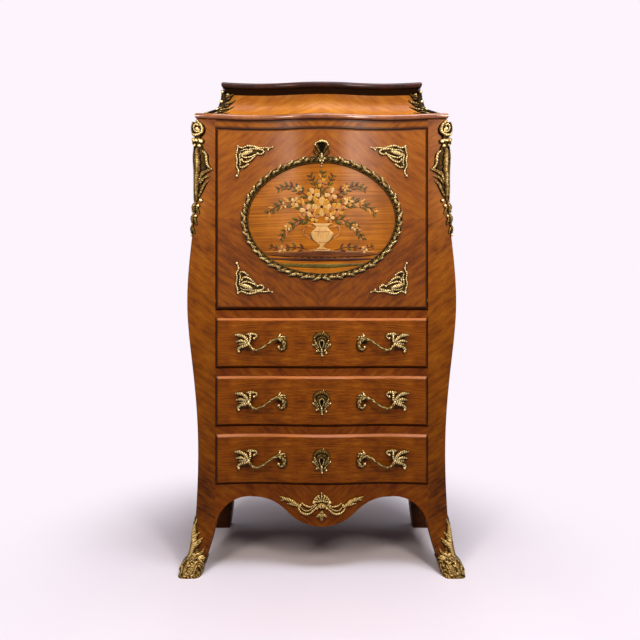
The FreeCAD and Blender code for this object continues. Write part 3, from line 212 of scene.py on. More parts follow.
def oak(name, tones, lean, plane):
    """Plain oak, matt, with soft stripes 12 mm wide and long open pores, drawn 1.2 mm wide to show."""
    material, tree, shader = finish_of(name, Specular_IOR_Level=0.3)
    axes = add(tree, "SeparateXYZ", {0: add(tree, "TexCoord").outputs["Object"]})
    flat = add(tree, "CombineXYZ", {0: axes.outputs[plane[0]], 1: axes.outputs[plane[1]],
                                    2: axes.outputs[plane[2]]})
    sway = add(tree, "TexNoise", {"Vector": flat, "Scale": 4.0, "Detail": 2.0})
    bent = add(tree, "VectorMath", {0: sway.outputs["Color"], 1: (0.03, 0.03, 0.03), 2: flat},
               operation="MULTIPLY_ADD")
    streaks = []
    for length, width in ((0.5, 0.012), (0.03, 0.0012)):
        flow = add(tree, "Mapping", {"Vector": bent, "Rotation": (0, 0, math.radians(lean)),
                                     "Scale": (length, width, width)}, vector_type="TEXTURE")
        streaks.append(add(tree, "TexNoise", {"Vector": flow, "Scale": 1.0, "Detail": 4.0,
                                              "Roughness": 0.6}))
    figure = add(tree, "Math", {0: streaks[0], 1: 0.6, 2: 0.2}, operation="MULTIPLY_ADD")
    wood = tone_ramp(tree, figure, tones, 0.36, 0.66)
    pores = add(tree, "MapRange", {0: streaks[1], 1: 0.58, 2: 0.70, 3: 0.0, 4: 0.6})
    wood = add(tree, "MixRGB", {0: pores, 1: wood, 2: colour(tones[0])})
    rough = add(tree, "Math", {0: streaks[1], 1: 0.2, 2: 0.5}, operation="MULTIPLY_ADD")
    bump = add(tree, "Bump", {"Height": streaks[1], "Strength": 0.25, "Distance": 0.0006})
    show(tree, shader, wood, rough, bump)
    return material


BOARD_TONES = ("#6b4a26", "#93703f", "#ab8751", "#bd9a62")
dress(oak("oak of the back, upright planks", BOARD_TONES, 90, "XZY"), "oak", "back_panel")
dress(oak("oak of the boards, grain across", BOARD_TONES, 0, "XYZ"), "oak", "bottom_board", "dust_board")
dress(oak("oak of the runners", BOARD_TONES, 90, "XYZ"), "oak", "drawer_runners")


# Top board and crest board: two moulded boards, the wider one closing the carcass, the other capping
# the crest. Their rounded edges are long-grained; the crest board has the darkest tones, and painted shade
# under its nose.
top_walnut = veneer("walnut of the top board", ("#52270e", "#864c1e", "#a1632c", "#b97f47"), 0, plane="XY",
                    halved=False, coat=1.0, shine=0.14)
dress(top_walnut, "veneer", "top_board")
# The crest board is painted darker under its rounded nose, as shade.
crest_walnut = veneer("walnut of the crest board", ("#0e0402", "#2c1006", "#421d0c", "#5a3018"), 0,
                      plane="XY", halved=False, coat=0.3, shine=0.14, painted_shade_below=(1.379, 1.386, 0.3))
dress(crest_walnut, "veneer", "crest_board")


# Crest: four hollowed boards mitred at the corners under the crest board. The paler veneer opens
# from the middle of the front in arrow heads that point up.
cove_tulipwood = veneer("tulipwood on the crest", ("#784108", "#a46214", "#b97820", "#cb8e36"), -34,
                        shine=0.30)
dress(cove_tulipwood, "veneer", "crest_coves")


# Desk inside the fall: floor, cheeks and a nest of pigeonholes, thin boards in paler polished oak,
# housed in one another and glued.
nest_oak = oak("oak of the pigeonholes", ("#6e4420", "#946233", "#ab7a45", "#bf9058"), 0, "XZY")
dress(nest_oak, "oak", "desk_floor", "pigeonholes", "desk_cheeks")


# Drawer fronts: serpentine boards with a bevel all round, each faced with matched leaves, mirrored both ways,
# whose long figure swells at the middle. The boxes behind are thin oak with the grain along each board.
DRAWERS = ("top_drawer", "middle_drawer", "bottom_drawer")
DRAWER_TONES = ("#3c1700", "#7f4002", "#9c5608", "#b6721e")
side_oak = oak("oak of the drawer sides", BOARD_TONES, 90, "XYZ")
drawer_middles = {}
for drawer in DRAWERS:
    low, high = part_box(drawer + "_front")
    drawer_middles[drawer] = (low.z + high.z) / 2
    # Each front is painted with shade along its foot and sides and with a highlight along its top bevel.
    figure_wood = veneer("walnut of the " + drawer.replace("_", " "), DRAWER_TONES, 0,
                         quarter_at=drawer_middles[drawer], bow=0.07, ribbon=(0.14, 0.008), gum=0.7,
                         rim=(low, high), painted_lightness=0.6)
    dress(figure_wood, "veneer", drawer + "_front")
    dress(side_oak, "oak", drawer + "_sides")
    dress(nest_oak, "oak", drawer + "_back", drawer + "_bottom")


# Locks and bolts: plain brass cases let into the backs of the fronts, each with a square bolt that
# shoots up.

def brass(name, tone, roughness):
    """Worn yellow brass with rubbing marks of about 1 mm and darker patches of about 17 mm."""
    material, tree, shader = finish_of(name, Metallic=1.0)
    place = add(tree, "TexCoord").outputs["Object"]
    patch = add(tree, "TexNoise", {"Vector": place, "Scale": 60.0, "Detail": 4.0})
    rub = add(tree, "TexNoise", {"Vector": place, "Scale": 900.0, "Detail": 2.0})
    mixed = add(tree, "MixRGB", {0: patch, 1: colour("#6b5326"), 2: colour(tone)})
    rough = add(tree, "Math", {0: rub, 1: 0.25, 2: roughness - 0.1}, operation="MULTIPLY_ADD")
    bump = add(tree, "Bump", {"Height": rub, "Strength": 0.08, "Distance": 0.0003})
    show(tree, shader, mixed, rough, bump)
    return material


lock_brass = brass("brass of the locks", "#c8a557", 0.36)
for lock in DRAWERS + ("fall",):
    dress(lock_brass, "brass", lock + "_lock", lock + "_bolt")


# Drawer pulls: two to a drawer, cast in bronze, chased and gilt. A spray of leaves at the outer end, an
# S-shaped grip that stands clear of the front, and a leafy scroll at the inner end; studs hold them.

HALF_WAVE = 180
WAVE_RISE = 14
FLANK_Y = -155


def serpentine(x):
    """How far the front stands ahead of its flanks at x, in mm: arcs of one radius, turned about."""
    radius = ((HALF_WAVE / 2) ** 2 + (WAVE_RISE / 2) ** 2) / WAVE_RISE
    wave = round(abs(x) / HALF_WAVE)
    sag = radius - math.sqrt(radius ** 2 - (abs(x) - wave * HALF_WAVE) ** 2)
    return sag if wave % 2 else WAVE_RISE - sag


def front_bed(x, z, proud=8, side=1):
    """Lays a pattern (across, up, out, in millimetres) on the serpentine front about x, z."""
    def bed(across, up, out):
        at = x + side * across
        return Vector((at, FLANK_Y - serpentine(at) - proud - out, z + up)) / 1000
    return bed


def between(stations, t, closed=False):
    """Values a share t of the way through stations, on a smooth curve."""
    count = len(stations)
    last = count if closed else count - 1
    place = t % 1 * last if closed else min(max(t, 0), 1) * last
    start = min(int(place), last - 1)
    share = place - start
    span = [start - 1, start, start + 1, start + 2]
    span = [at % count if closed else min(max(at, 0), last) for at in span]
    rows = zip(*[stations[at] for at in span])
    return [b + share / 2 * (c - a + share * (2 * a - 5 * b + 4 * c - d + share * (3 * (b - c) + d - a)))
            for a, b, c, d in rows]


def limb(cast, stations, lobes=0, sides=10, back=None, closed=False, twist=0, polish=1.0, cuts=5.0):
    """One limb of a casting through stations (across, up, lift, half width, crown). Lobes notch its edges as
    a leaf's, twist wraps it with ridges, cuts is the spacing of the chaser's feathered cuts. Its
    underside lies on the bed, or hangs free by back times the crown."""
    wear_and_shading = cast.verts.layers.float["wear_and_shading"]
    reach = sum(math.dist(here[:2], there[:2]) for here, there in zip(stations, stations[1:]))
    ridges = max(round(reach / cuts), 2) if cuts else 0
    steps = max(5 * (len(stations) - 1), 6 * lobes, 6 * twist, 4 * ridges, 6)
    grid = bmesh.ops.create_grid(cast, x_segments=sides, y_segments=steps, size=1)["verts"]
    rows = {}
    for vert in grid:
        t = round((vert.co.y + 1) / 2, 5)
        if t not in rows:
            ahead = between(stations, t + 0.01, closed)
            behind = between(stations, t - 0.01, closed)
            along = Vector((ahead[0] - behind[0], ahead[1] - behind[1])).normalized()
            rows[t] = between(stations, t, closed), along
        (across, up, lift, width, crown), along = rows[t]
        if not closed and t in (0, 1):
            width = crown = 0
        turn = math.pi * (vert.co.x + 1)
        edge = math.cos(turn)
        top = math.sin(turn)
        relief = 1.0
        if lobes:
            width *= 0.6 + 0.4 * math.sqrt(abs(math.sin(math.pi * lobes * t)))
            relief -= 0.2 * math.exp(-(edge / 0.2) ** 2)
        if twist:
            relief = 0.72 + 0.28 * math.cos(2 * math.pi * twist * t + 2 * turn)
        elif ridges:
            relief *= 0.55 + 0.45 * abs(math.sin(math.pi * (ridges * t + 0.8 * (1 - abs(edge)))))
        under = lift if back is None else crown * back
        out = lift + top * (crown * relief if top > 0 else under)
        offset = edge * max(width, 0)
        vert.co = (across - along.y * offset, up + along.x * offset, out)
        # The attribute is highest on the crest of each limb and falls off to its edges and into the cuts:
        # partly the burnish and patina of real gilding, partly a painted highlight on top and painted shade
        # on the sides.
        vert[wear_and_shading] = polish * max(top, 0) ** 0.8 * relief ** 1.4
    bmesh.ops.remove_doubles(cast, verts=grid, dist=0.0005)


def bead(cast, across, up, lift, radius):
    """A round drop of metal."""
    wear_and_shading = cast.verts.layers.float["wear_and_shading"]
    ball = bmesh.ops.create_icosphere(cast, subdivisions=2, radius=radius,
                                      matrix=Matrix.Translation((across, up, lift)))
    for vert in ball["verts"]:
        # Lighter toward the top of the drop: partly burnish, partly a painted highlight.
        vert[wear_and_shading] = 0.35 + 0.65 * max((vert.co.z - lift) / radius, 0)


def laid(*parts):
    """Castings laid on their beds and gathered in one mesh; parts are (pattern, bed)."""
    whole = bmesh.new()
    for pattern, bed in parts:
        cast = bmesh.new()
        cast.verts.layers.float.new("wear_and_shading")
        pattern(cast)
        for vert in cast.verts:
            vert.co = bed(*vert.co)
        cast.normal_update()
        bmesh.ops.recalc_face_normals(cast, faces=cast.faces)
        mesh = bpy.data.meshes.new("cast")
        cast.to_mesh(mesh)
        cast.free()
        whole.from_mesh(mesh)
        bpy.data.meshes.remove(mesh)
    return whole


def fix(name, shape, materials, body, slot, *stands_for):
    """Makes a finished piece of a mesh and fixes it to a body."""
    for face in shape.faces:
        face.smooth = True
    mesh = bpy.data.meshes.new(name)
    shape.to_mesh(mesh)
    shape.free()
    for material in materials:
        mesh.materials.append(material)
    made = bpy.data.objects.new(name, mesh)
    bpy.context.scene.collection.objects.link(made)
    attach(made, body)
    if stands_for:
        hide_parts(*stands_for)


def gilding(name, tones):
    """Old gilt bronze: pale gold on the high crests of the castings, olive in between, brown in the hollows
    and on the sides, partly real burnish and patina, partly painted highlight and painted shade. With
    blotches of about 6 mm and a punched grain of about 2 mm."""
    material, tree, shader = finish_of(name, Metallic=0.95)
    height = add(tree, "Attribute", attribute_name="wear_and_shading").outputs["Fac"]
    place = add(tree, "TexCoord").outputs["Object"]
    grime = add(tree, "TexNoise", {"Vector": place, "Scale": 160.0, "Detail": 4.0})
    chasing = add(tree, "TexNoise", {"Vector": place, "Scale": 450.0, "Detail": 2.0})
    painted_lightness = add(tree, "Math", {0: grime, 1: 0.5, 2: height}, operation="MULTIPLY_ADD")
    tone = tone_ramp(tree, painted_lightness, tones, 0.22, 1.15)
    rough = add(tree, "MapRange", {0: painted_lightness, 1: 0.3, 2: 1.2, 3: 0.6, 4: 0.32})
    bump = add(tree, "Bump", {"Height": chasing, "Strength": 0.4, "Distance": 0.0008})
    show(tree, shader, tone, rough, bump)
    return material


gilt = gilding("gilt bronze", ("#0c0703", "#1f1608", "#412f12", "#6e5828", "#cab67e"))

PULL_GRIP = [(-27, 2, 13, 4.4, 4), (-22, -9, 15, 4.8, 4.4), (-13, -19, 18, 4.6, 4.2), (-3, -22, 20, 4.2, 4),
             (13, -16.5, 21, 3.8, 3.8), (30, -5, 20, 3.8, 3.8), (43, 4.5, 17, 4.2, 4), (57, 8, 13, 5.8, 4.8),
             (69, 4, 9, 7.6, 5.6), (75, -6, 7, 8, 5.6), (73, -17, 6, 6.8, 5), (66, -22, 6, 4.8, 4),
             (60, -18, 6, 3, 3)]
PULL_LEAVES = [
    [(-24, -4, 14, 2, 3), (-30, 6, 13, 5.6, 4.5), (-40, 15, 10, 6.6, 4.5), (-53, 19, 6, 6, 4),
     (-67, 18.5, 3, 1.5, 1)],
    [(-25, -5, 13, 2, 3), (-36, 0, 11, 5, 4), (-48, 3, 8, 5.6, 4), (-63, -0.5, 3, 1.5, 1)],
    [(-25, -6, 13, 2, 3), (-38, -5.5, 10, 4, 4), (-54, -7, 5, 1.5, 1)],
    [(-24, -8, 13, 2, 3), (-36, -11, 11, 5.6, 4.5), (-47, -14, 8, 6.4, 4.5), (-55, -22, 5, 5, 3.5),
     (-54, -29, 4, 2.5, 2.5)],
    [(-22, -3, 14, 3, 3.5), (-20.5, 6, 13, 4.2, 4), (-21, 15, 10, 4.6, 4), (-22, 22, 8, 2, 3)],
    [(-35, 20, 6, 1.5, 1.5), (-27, 21.5, 8, 4.4, 3.5), (-15, 22, 8, 5, 4), (-5, 20, 7, 4.2, 3.5),
     (-3, 14, 6, 3.2, 3), (-9, 10, 6, 2.5, 3)],
    [(57, 9, 12, 3, 3.5), (61, 15, 9, 4.4, 3.5), (64, 23.5, 5, 1.5, 1.5)],
    [(61, 10, 11, 2.6, 3), (69, 14, 8, 4.4, 3.5), (80, 13, 4, 1.5, 1)],
    [(68, 6, 9, 2.6, 3), (75, 7.5, 7, 3.8, 3), (81, 5, 4, 1.5, 1)],
]
PULL_BEADS = [(-10.5, 9.5, 7, 4.3), (-53, -27, 5, 4.2), (59, -14.5, 7, 4.6), (-25, -5, 14, 5),
              (63.5, 21, 6, 2.6)]


def pull(cast):
    """One pull, its leaves to the left: grip, leaves, beads and the two bosses."""
    limb(cast, PULL_GRIP, sides=12, back=1.0, cuts=14, polish=0.85)
    for leaf in PULL_LEAVES:
        fuller = [(across, up, lift, width * 1.06, crown) for across, up, lift, width, crown in leaf]
        limb(cast, fuller, lobes=2, back=0.6)
    for across, up, lift, radius in PULL_BEADS:
        bead(cast, across, up, lift, radius)
    for across, up in ((-49.5, 3), (60, 3)):
        limb(cast, [(across - 9, up, 0, 3, 4), (across, up, 0, 8, 8), (across + 9, up, 0, 3, 4)], polish=0.4)


PULL_ACROSS = 180
PULL_RISE = 4
for drawer in DRAWERS:
    pull_z = drawer_middles[drawer] * 1000 + PULL_RISE
    pulls = laid((pull, front_bed(-PULL_ACROSS, pull_z)), (pull, front_bed(PULL_ACROSS, pull_z, side=-1)))
    fix(drawer + "_pulls", pulls, [gilt], drawer, "gilt_bronze", drawer + "_handles")


# Keyhole mounts of the drawers: thin cast plates with two hoods over the keyhole, curled sides and a leaf
# hanging below, pinned to the fronts.

HOLE_RADIUS = 4.4
SLOT_HALF_WIDTH = 2.6
SLOT_REACH = 12
PLATE_EDGE = 1.6
PLATE_LIP = 2.4
PLATE_THICKNESS = 2.2


def keyhole_plate(cast, half_width, top, bottom, polish):
    """Flat plate round a keyhole, from a ring of the outline to a ring of the hole, over a slot painted black
    as the shade inside the keyhole.
    """
    wear_and_shading = cast.verts.layers.float["wear_and_shading"]
    outer = bmesh.ops.create_circle(cast, segments=24, radius=1)["verts"]
    inner = bmesh.ops.create_circle(cast, segments=24, radius=1)["verts"]
    for vert in outer:
        reach = top if vert.co.y > 0 else -bottom
        vert.co = (vert.co.x * half_width, vert.co.y * reach, PLATE_EDGE)
    for vert in inner:
        low = vert.co.y < -0.3
        wide = SLOT_HALF_WIDTH if low else HOLE_RADIUS
        reach = SLOT_REACH if low else HOLE_RADIUS
        vert.co = (vert.co.x * wide, vert.co.y * reach, PLATE_LIP)
    bmesh.ops.bridge_loops(cast, edges=cast.edges[:])
    wall = bmesh.ops.extrude_face_region(cast, geom=cast.faces[:])["geom"]
    for vert in cast.verts:
        vert[wear_and_shading] = polish
    bmesh.ops.translate(cast, verts=[part for part in wall if isinstance(part, bmesh.types.BMVert)],
                        vec=(0, 0, -PLATE_THICKNESS))
    # Painted shade: a black slot where the keyhole opens into the dark of the lock.
    limb(cast, [(0, 6, 0.6, 3, 0.4), (0, 0, 0.6, 5, 0.4), (0, -8, 0.6, 3.4, 0.4), (0, -14, 0.6, 3, 0.4)],
         cuts=0, polish=-1.0)


def mirrored_limbs(cast, limbs, lobes=0, **shape):
    """The same limbs on both sides of the middle."""
    for stations in limbs:
        for side in (-1, 1):
            limb(cast, [(side * across, *rest) for across, *rest in stations], lobes, **shape)


def drawer_keyhole(cast):
    """Plate, rim, two hoods, curled sides, hanging leaf and beads."""
    keyhole_plate(cast, 19, 20, -22, polish=0.48)
    limb(cast, [(0, 9, 2.5, 1.6, 2.5), (6.4, 4, 2.5, 1.8, 2.5), (5.4, -5, 2.5, 1.8, 2.5),
                (0, -15, 2.5, 1.8, 2.5), (-5.4, -5, 2.5, 1.8, 2.5),
                (-6.4, 4, 2.5, 1.8, 2.5)], closed=True, cuts=0, polish=0.75)
    limb(cast, [(-23, 8, 2, 2.4, 3), (-19, 18, 2.5, 5.4, 4.5), (-9, 25, 3, 6.4, 5), (4, 26, 3, 6.4, 5),
                (16, 20, 2.5, 5.4, 4.5), (22, 10, 2, 2.4, 3)], polish=0.7)
    limb(cast, [(-13, 6, 2.5, 1.6, 2.5), (-9, 14, 3, 2.8, 3.5), (1, 17, 3, 3, 3.5), (10, 13, 3, 2.8, 3.5),
                (13, 6, 2.5, 1.6, 2.5)], polish=0.7)
    mirrored_limbs(cast, [
        [(20, 12, 2, 2, 3), (18, 3, 2.5, 5.4, 4.5), (12, -6, 2.5, 3.6, 3.5), (8, -14, 2.5, 2, 3)],
        [(16, -2, 2, 2, 3), (21, -6, 2.5, 3.6, 3.5), (15, -12, 2.5, 3.4, 3.5), (9, -20, 2.5, 3, 3.5),
         (4, -26, 2, 1.6, 2)],
        [(6, -17, 2.5, 2, 3), (11, -22, 2.5, 3.6, 3.5), (15, -27, 2, 1.4, 1.5)],
    ], polish=0.8)
    limb(cast, [(0, -14, 2.5, 2, 3), (0, -23, 3, 5, 4.5), (0, -33, 2, 2, 2)], lobes=2)
    for across, up, radius in ((-24, -4, 3.2), (24, -4, 3.2), (-14, -22, 3.2), (13, -27, 3.4), (1, -34, 3.4),
                               (5, 31, 2.6), (-8, 29, 2.2)):
        bead(cast, across, up, 2.5, radius)


for drawer in DRAWERS:
    plate = laid((drawer_keyhole, front_bed(0, drawer_middles[drawer] * 1000)))
    fix(drawer + "_keyhole_mount", plate, [gilt], drawer, "gilt_bronze", drawer + "_escutcheon")


# Fall: one serpentine board, veneered on its face in four matched quarters whose grain makes a lozenge
# about the oval, and hung on brass plates and slotted quadrants let into its ends.
fall_low, fall_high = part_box("fall_panel")
fall_level = (fall_low.z + fall_high.z) / 2
# Painted shade: the lower quarters of the fall are drawn darker and its edges are darkened all round.
fall_kingwood = veneer("kingwood on the fall", ("#623005", "#8a4a08", "#9c5b0e", "#ae6f1e"), -42,
                       coat=0.25, quarter_at=fall_level, painted_lower_shade=0.07, rim=(fall_low, fall_high))
dress(fall_kingwood, "veneer", "fall_panel")
stay_brass = brass("brass of the quadrants", "#d2b066", 0.30)
dress(stay_brass, "brass", "quadrant_stays", "pivot_sockets", "pivot_plates", "stay_pins")


# Writing surface: brown goatskin glued into a bed in the back of the fall, with two gold lines tooled
# round it.
leather_low, leather_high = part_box("writing_leather")


def tooled_leather(name):
    """Goatskin: pebbles of about 1.4 mm, wide stains, and two gilt lines at 12.5 and 17 mm from the edge."""
    material, tree, shader = finish_of(name, Specular_IOR_Level=0.4)
    place = add(tree, "TexCoord").outputs["Object"]
    axes = add(tree, "SeparateXYZ", {0: place})
    middle = (leather_low.z + leather_high.z) / 2
    side = add(tree, "Math", {0: axes.outputs["X"]}, operation="ABSOLUTE")
    side = add(tree, "Math", {0: leather_high.x, 1: side}, operation="SUBTRACT")
    level = add(tree, "Math", {0: axes.outputs["Z"], 1: middle}, operation="SUBTRACT")
    level = add(tree, "Math", {0: level}, operation="ABSOLUTE")
    level = add(tree, "Math", {0: leather_high.z - middle, 1: level}, operation="SUBTRACT")
    inset = add(tree, "Math", {0: side, 1: level}, operation="MINIMUM")
    broad = add(tree, "Math", {0: inset, 1: 0.0125, 2: 0.0013}, operation="COMPARE")
    thin = add(tree, "Math", {0: inset, 1: 0.0170, 2: 0.0005}, operation="COMPARE")
    gold = add(tree, "Math", {0: broad, 1: thin}, operation="MAXIMUM")
    pebble = add(tree, "TexVoronoi", {"Vector": place, "Scale": 700.0})
    stain = add(tree, "TexNoise", {"Vector": place, "Scale": 9.0, "Detail": 4.0})
    hide = tone_ramp(tree, stain, ("#3b1a0c", "#5a2a13", "#70391c"), 0.35, 0.65)
    hide = add(tree, "MixRGB", {0: gold, 1: hide, 2: colour("#c99a45")})
    rough = add(tree, "Math", {0: stain, 1: 0.3, 2: 0.35}, operation="MULTIPLY_ADD")
    bump = add(tree, "Bump", {"Height": pebble, "Strength": 0.35, "Distance": 0.0006})
    tree.links.new(gold.outputs[0], shader.inputs["Metallic"])
    show(tree, shader, hide, rough, bump)
    return material


dress(tooled_leather("tooled goatskin"), "leather", "writing_leather")


# Marquetry oval: golden satinwood let into the fall, inlaid with a footed vase of flowers on a ledge,
# leafy sprays to both sides, in woods that are natural, scorched or stained green.

def inlay_wood(name, tones, lean, length=0.12, width=0.003, scorch=0.0):
    """A flat leaf of inlay under polish, with soft streaks; scorch darkens it to the ends of the oval."""
    material, tree, shader = finish_of(name, Coat_Weight=0.16, Coat_Roughness=0.24, Specular_IOR_Level=0.06)
    place = add(tree, "TexCoord").outputs["Object"]
    axes = add(tree, "SeparateXYZ", {0: place})
    flat = add(tree, "CombineXYZ", {0: axes.outputs["X"], 1: axes.outputs["Z"]})
    lie = add(tree, "Mapping", {"Vector": flat, "Rotation": (0, 0, math.radians(lean)),
                                "Scale": (length, width, width)}, vector_type="TEXTURE")
    streak = add(tree, "TexNoise", {"Vector": lie, "Scale": 1.0, "Detail": 4.0, "Distortion": 0.3})
    cloud = add(tree, "TexNoise", {"Vector": flat, "Scale": 16.0, "Detail": 2.0})
    figure = add(tree, "Math", {0: cloud, 1: 0.5, 2: streak}, operation="MULTIPLY_ADD")
    if scorch:
        end = add(tree, "Math", {0: axes.outputs["X"]}, operation="ABSOLUTE")
        burn = add(tree, "MapRange", {0: end, 1: 0.06, 2: 0.20, 3: 0.0, 4: -scorch})
        figure = add(tree, "Math", {0: figure, 1: burn}, operation="ADD")
    wood = tone_ramp(tree, figure, tones, 0.55, 0.95)
    bump = add(tree, "Bump", {"Height": streak, "Strength": 0.06, "Distance": 0.0004})
    rough = add(tree, "Math", {0: streak, 1: 0.15, 2: 0.24}, operation="MULTIPLY_ADD")
    show(tree, shader, wood, rough, bump)
    return material


oval_ground = inlay_wood("satinwood ground", ("#8c4f09", "#a8640e", "#b87216", "#c68022"), 2, 0.25, 0.004,
                         scorch=0.14)
dress(oval_ground, "marquetry", "marquetry_oval")
INLAY_WOODS = [
    inlay_wood("holly", ("#b98a48", "#d9b06a", "#e8c78a"), 80, 0.04, 0.002),
    inlay_wood("boxwood", ("#a8701f", "#cf9436", "#dca850"), 70, 0.04, 0.002),
    inlay_wood("tulipwood", ("#8a4f22", "#b4733a", "#c98c55"), 60, 0.04, 0.003),
    inlay_wood("rosewood", ("#2a1005", "#43200c", "#5a3016"), 5, 0.06, 0.003),
    inlay_wood("green sycamore", ("#3f3b10", "#5c5218", "#766a28"), 40, 0.04, 0.003),
    inlay_wood("scorched walnut", ("#3f1e08", "#6a3a14", "#86521f"), 0, 0.08, 0.004),
]
HOLLY, BOX, TULIP, ROSE, GREEN, WALNUT = range(6)


def inlay(cast, wood, stations, lobes=0, sides=6):
    """One sawn piece of inlay, a few tenths of a millimetre proud."""
    before = set(cast.faces)
    limb(cast, [(across, up, depth, width, 0.22) for across, up, depth, width in stations], lobes, sides,
         cuts=0)
    for face in set(cast.faces) - before:
        face.material_index = wood


def flower(cast, across, up, radius, petals, woods, turn=0.0, depth=0.1):
    """Petals round a dark eye."""
    for petal in range(petals):
        angle = turn + 2 * math.pi * petal / petals
        out, rise = math.cos(angle) * radius, math.sin(angle) * radius
        wood = woods[petal % len(woods)]
        inlay(cast, wood, [(across + out * share, up + rise * share, depth + 0.03 * (petal % 2),
                            radius * width)
                           for share, width in ((0.1, 0.1), (0.55, 0.36), (0.85, 0.34), (1.0, 0.1))])
    inlay(cast, ROSE, [(across - radius * 0.2, up, depth + 0.12, 0.5),
                       (across, up, depth + 0.12, radius * 0.2),
                       (across + radius * 0.2, up, depth + 0.12, 0.5)])


def spray(cast, path, leaf_length, pairs, wood, other):
    """A curving stem with leaves in pairs that shorten to its tip."""
    stem = [(across, up, 0.05, 1.4) for across, up in path]
    inlay(cast, ROSE, stem)
    for pair in range(pairs):
        t = 0.18 + 0.8 * pair / pairs
        here = between(path, t)
        ahead = between(path, t + 0.02)
        lean = math.atan2(ahead[1] - here[1], ahead[0] - here[0])
        length = leaf_length * (1 - 0.45 * t)
        for side in (-1, 1):
            turn = lean + side * 0.75
            across, up = math.cos(turn) * length, math.sin(turn) * length
            inlay(cast, wood if (pair + side) % 3 else other,
                  [(here[0] + across * share, here[1] + up * share, 0.08 + 0.02 * side, length * width)
                   for share, width in ((0.02, 0.03), (0.4, 0.2), (0.75, 0.13), (1.0, 0.02))])


def bouquet(cast):
    """Vase of flowers on a ledge, sprays falling to left and right."""
    inlay(cast, WALNUT, [(-168, -98, 0, 2), (-90, -100, 0, 9), (0, -101, 0, 11), (90, -100, 0, 9),
                         (168, -98, 0, 2)])
    inlay(cast, ROSE, [(-176, -110, 0.05, 1), (-80, -115, 0.05, 4), (0, -116, 0.05, 5), (80, -115, 0.05, 4),
                       (176, -110, 0.05, 1)])
    inlay(cast, BOX, [(-170, -93, 0.06, 0.6), (0, -91, 0.06, 1.2), (170, -93, 0.06, 0.6)])
    inlay(cast, GREEN, [(-140, -126, 0.02, 1), (-70, -132, 0.02, 5), (20, -134, 0.02, 6),
                        (100, -129, 0.02, 3), (140, -125, 0.02, 1)])
    for side in (-1, 1):
        spray(cast, [(side * 12, 0), (side * 60, 38), (side * 112, 42), (side * 158, 12)], 30, 9, GREEN, BOX)
        spray(cast, [(side * 10, 10), (side * 46, 66), (side * 92, 92), (side * 128, 82)], 26, 8, GREEN,
              WALNUT)
        spray(cast, [(side * 14, -12), (side * 58, -4), (side * 98, -30), (side * 118, -62)], 26, 8, GREEN,
              TULIP)
        spray(cast, [(side * 6, 20), (side * 16, 84), (side * 34, 124)], 24, 6, GREEN, WALNUT)
        spray(cast, [(side * 30, -92), (side * 74, -80), (side * 118, -84), (side * 150, -74)], 20, 6,
              WALNUT, GREEN)
        inlay(cast, TULIP, [(side * 24, -28, 0.1, 1.5), (side * 46, -22, 0.1, 3), (side * 50, -44, 0.1, 3),
                            (side * 30, -58, 0.1, 2)])
    spray(cast, [(0, 20), (-3, 80), (4, 134)], 26, 7, GREEN, BOX)
    inlay(cast, HOLLY, [(0, -92, 0.12, 24), (0, -88, 0.12, 24), (0, -82, 0.12, 8), (0, -74, 0.12, 9),
                        (0, -60, 0.12, 28), (0, -44, 0.12, 34), (0, -32, 0.12, 22), (0, -24, 0.12, 19),
                        (0, -17, 0.12, 29), (0, -14, 0.12, 28)], sides=8)
    for up, width in ((-66, 20), (-36, 25), (-20, 22), (-86, 20)):
        inlay(cast, TULIP, [(-width, up, 0.2, 0.6), (0, up - 2, 0.2, 1.5), (width, up, 0.2, 0.6)])
    for across, up, radius, petals, woods in (
            (0, 32, 27, 8, (HOLLY, BOX)), (-42, 22, 20, 6, (TULIP, HOLLY)), (42, 24, 21, 7, (BOX, TULIP)),
            (-24, 66, 20, 6, (BOX, HOLLY)), (27, 68, 19, 6, (HOLLY, TULIP)), (2, 98, 15, 5, (TULIP, BOX)),
            (-74, 46, 15, 5, (HOLLY, BOX)), (76, 48, 15, 5, (HOLLY, BOX)), (-20, 2, 14, 5, (BOX, TULIP)),
            (22, 2, 14, 5, (HOLLY, TULIP)), (-104, 40, 10, 5, (TULIP, HOLLY)),
            (108, 40, 10, 5, (TULIP, BOX)), (-64, 84, 10, 5, (HOLLY, BOX)), (66, 86, 10, 5, (BOX, HOLLY)),
            (-96, -24, 11, 5, (BOX, HOLLY)), (94, -24, 11, 5, (HOLLY, BOX)),
            (-112, -86, 12, 6, (TULIP, HOLLY)), (120, -86, 11, 5, (HOLLY, TULIP))):
        flower(cast, across, up, radius, petals, woods, turn=across * 0.05, depth=0.22)


fix("marquetry_inlay", laid((bouquet, front_bed(0, fall_level * 1000))), INLAY_WOODS, "fall", "marquetry")


# Oval frame: a gilt bronze band wrapped with ridges, with pointed leaves that climb both sides from the
# bottom and stand a little off its edges, pinned round the marquetry.

OVAL_HALF_WIDTH = 217
OVAL_HALF_HEIGHT = 164
OVAL_TURNS = [2 * math.pi * step / 40 for step in range(40)]
LEAVES_A_SIDE = 40
LEAF_TURN = 0.105
LEAF_LEANS = (10, 2, 8, -3)


def oval_point(turn, grow=0.0):
    """A point on the oval, grown outward, counted from its foot."""
    return (OVAL_HALF_WIDTH + grow) * math.sin(turn), -(OVAL_HALF_HEIGHT + grow) * math.cos(turn)


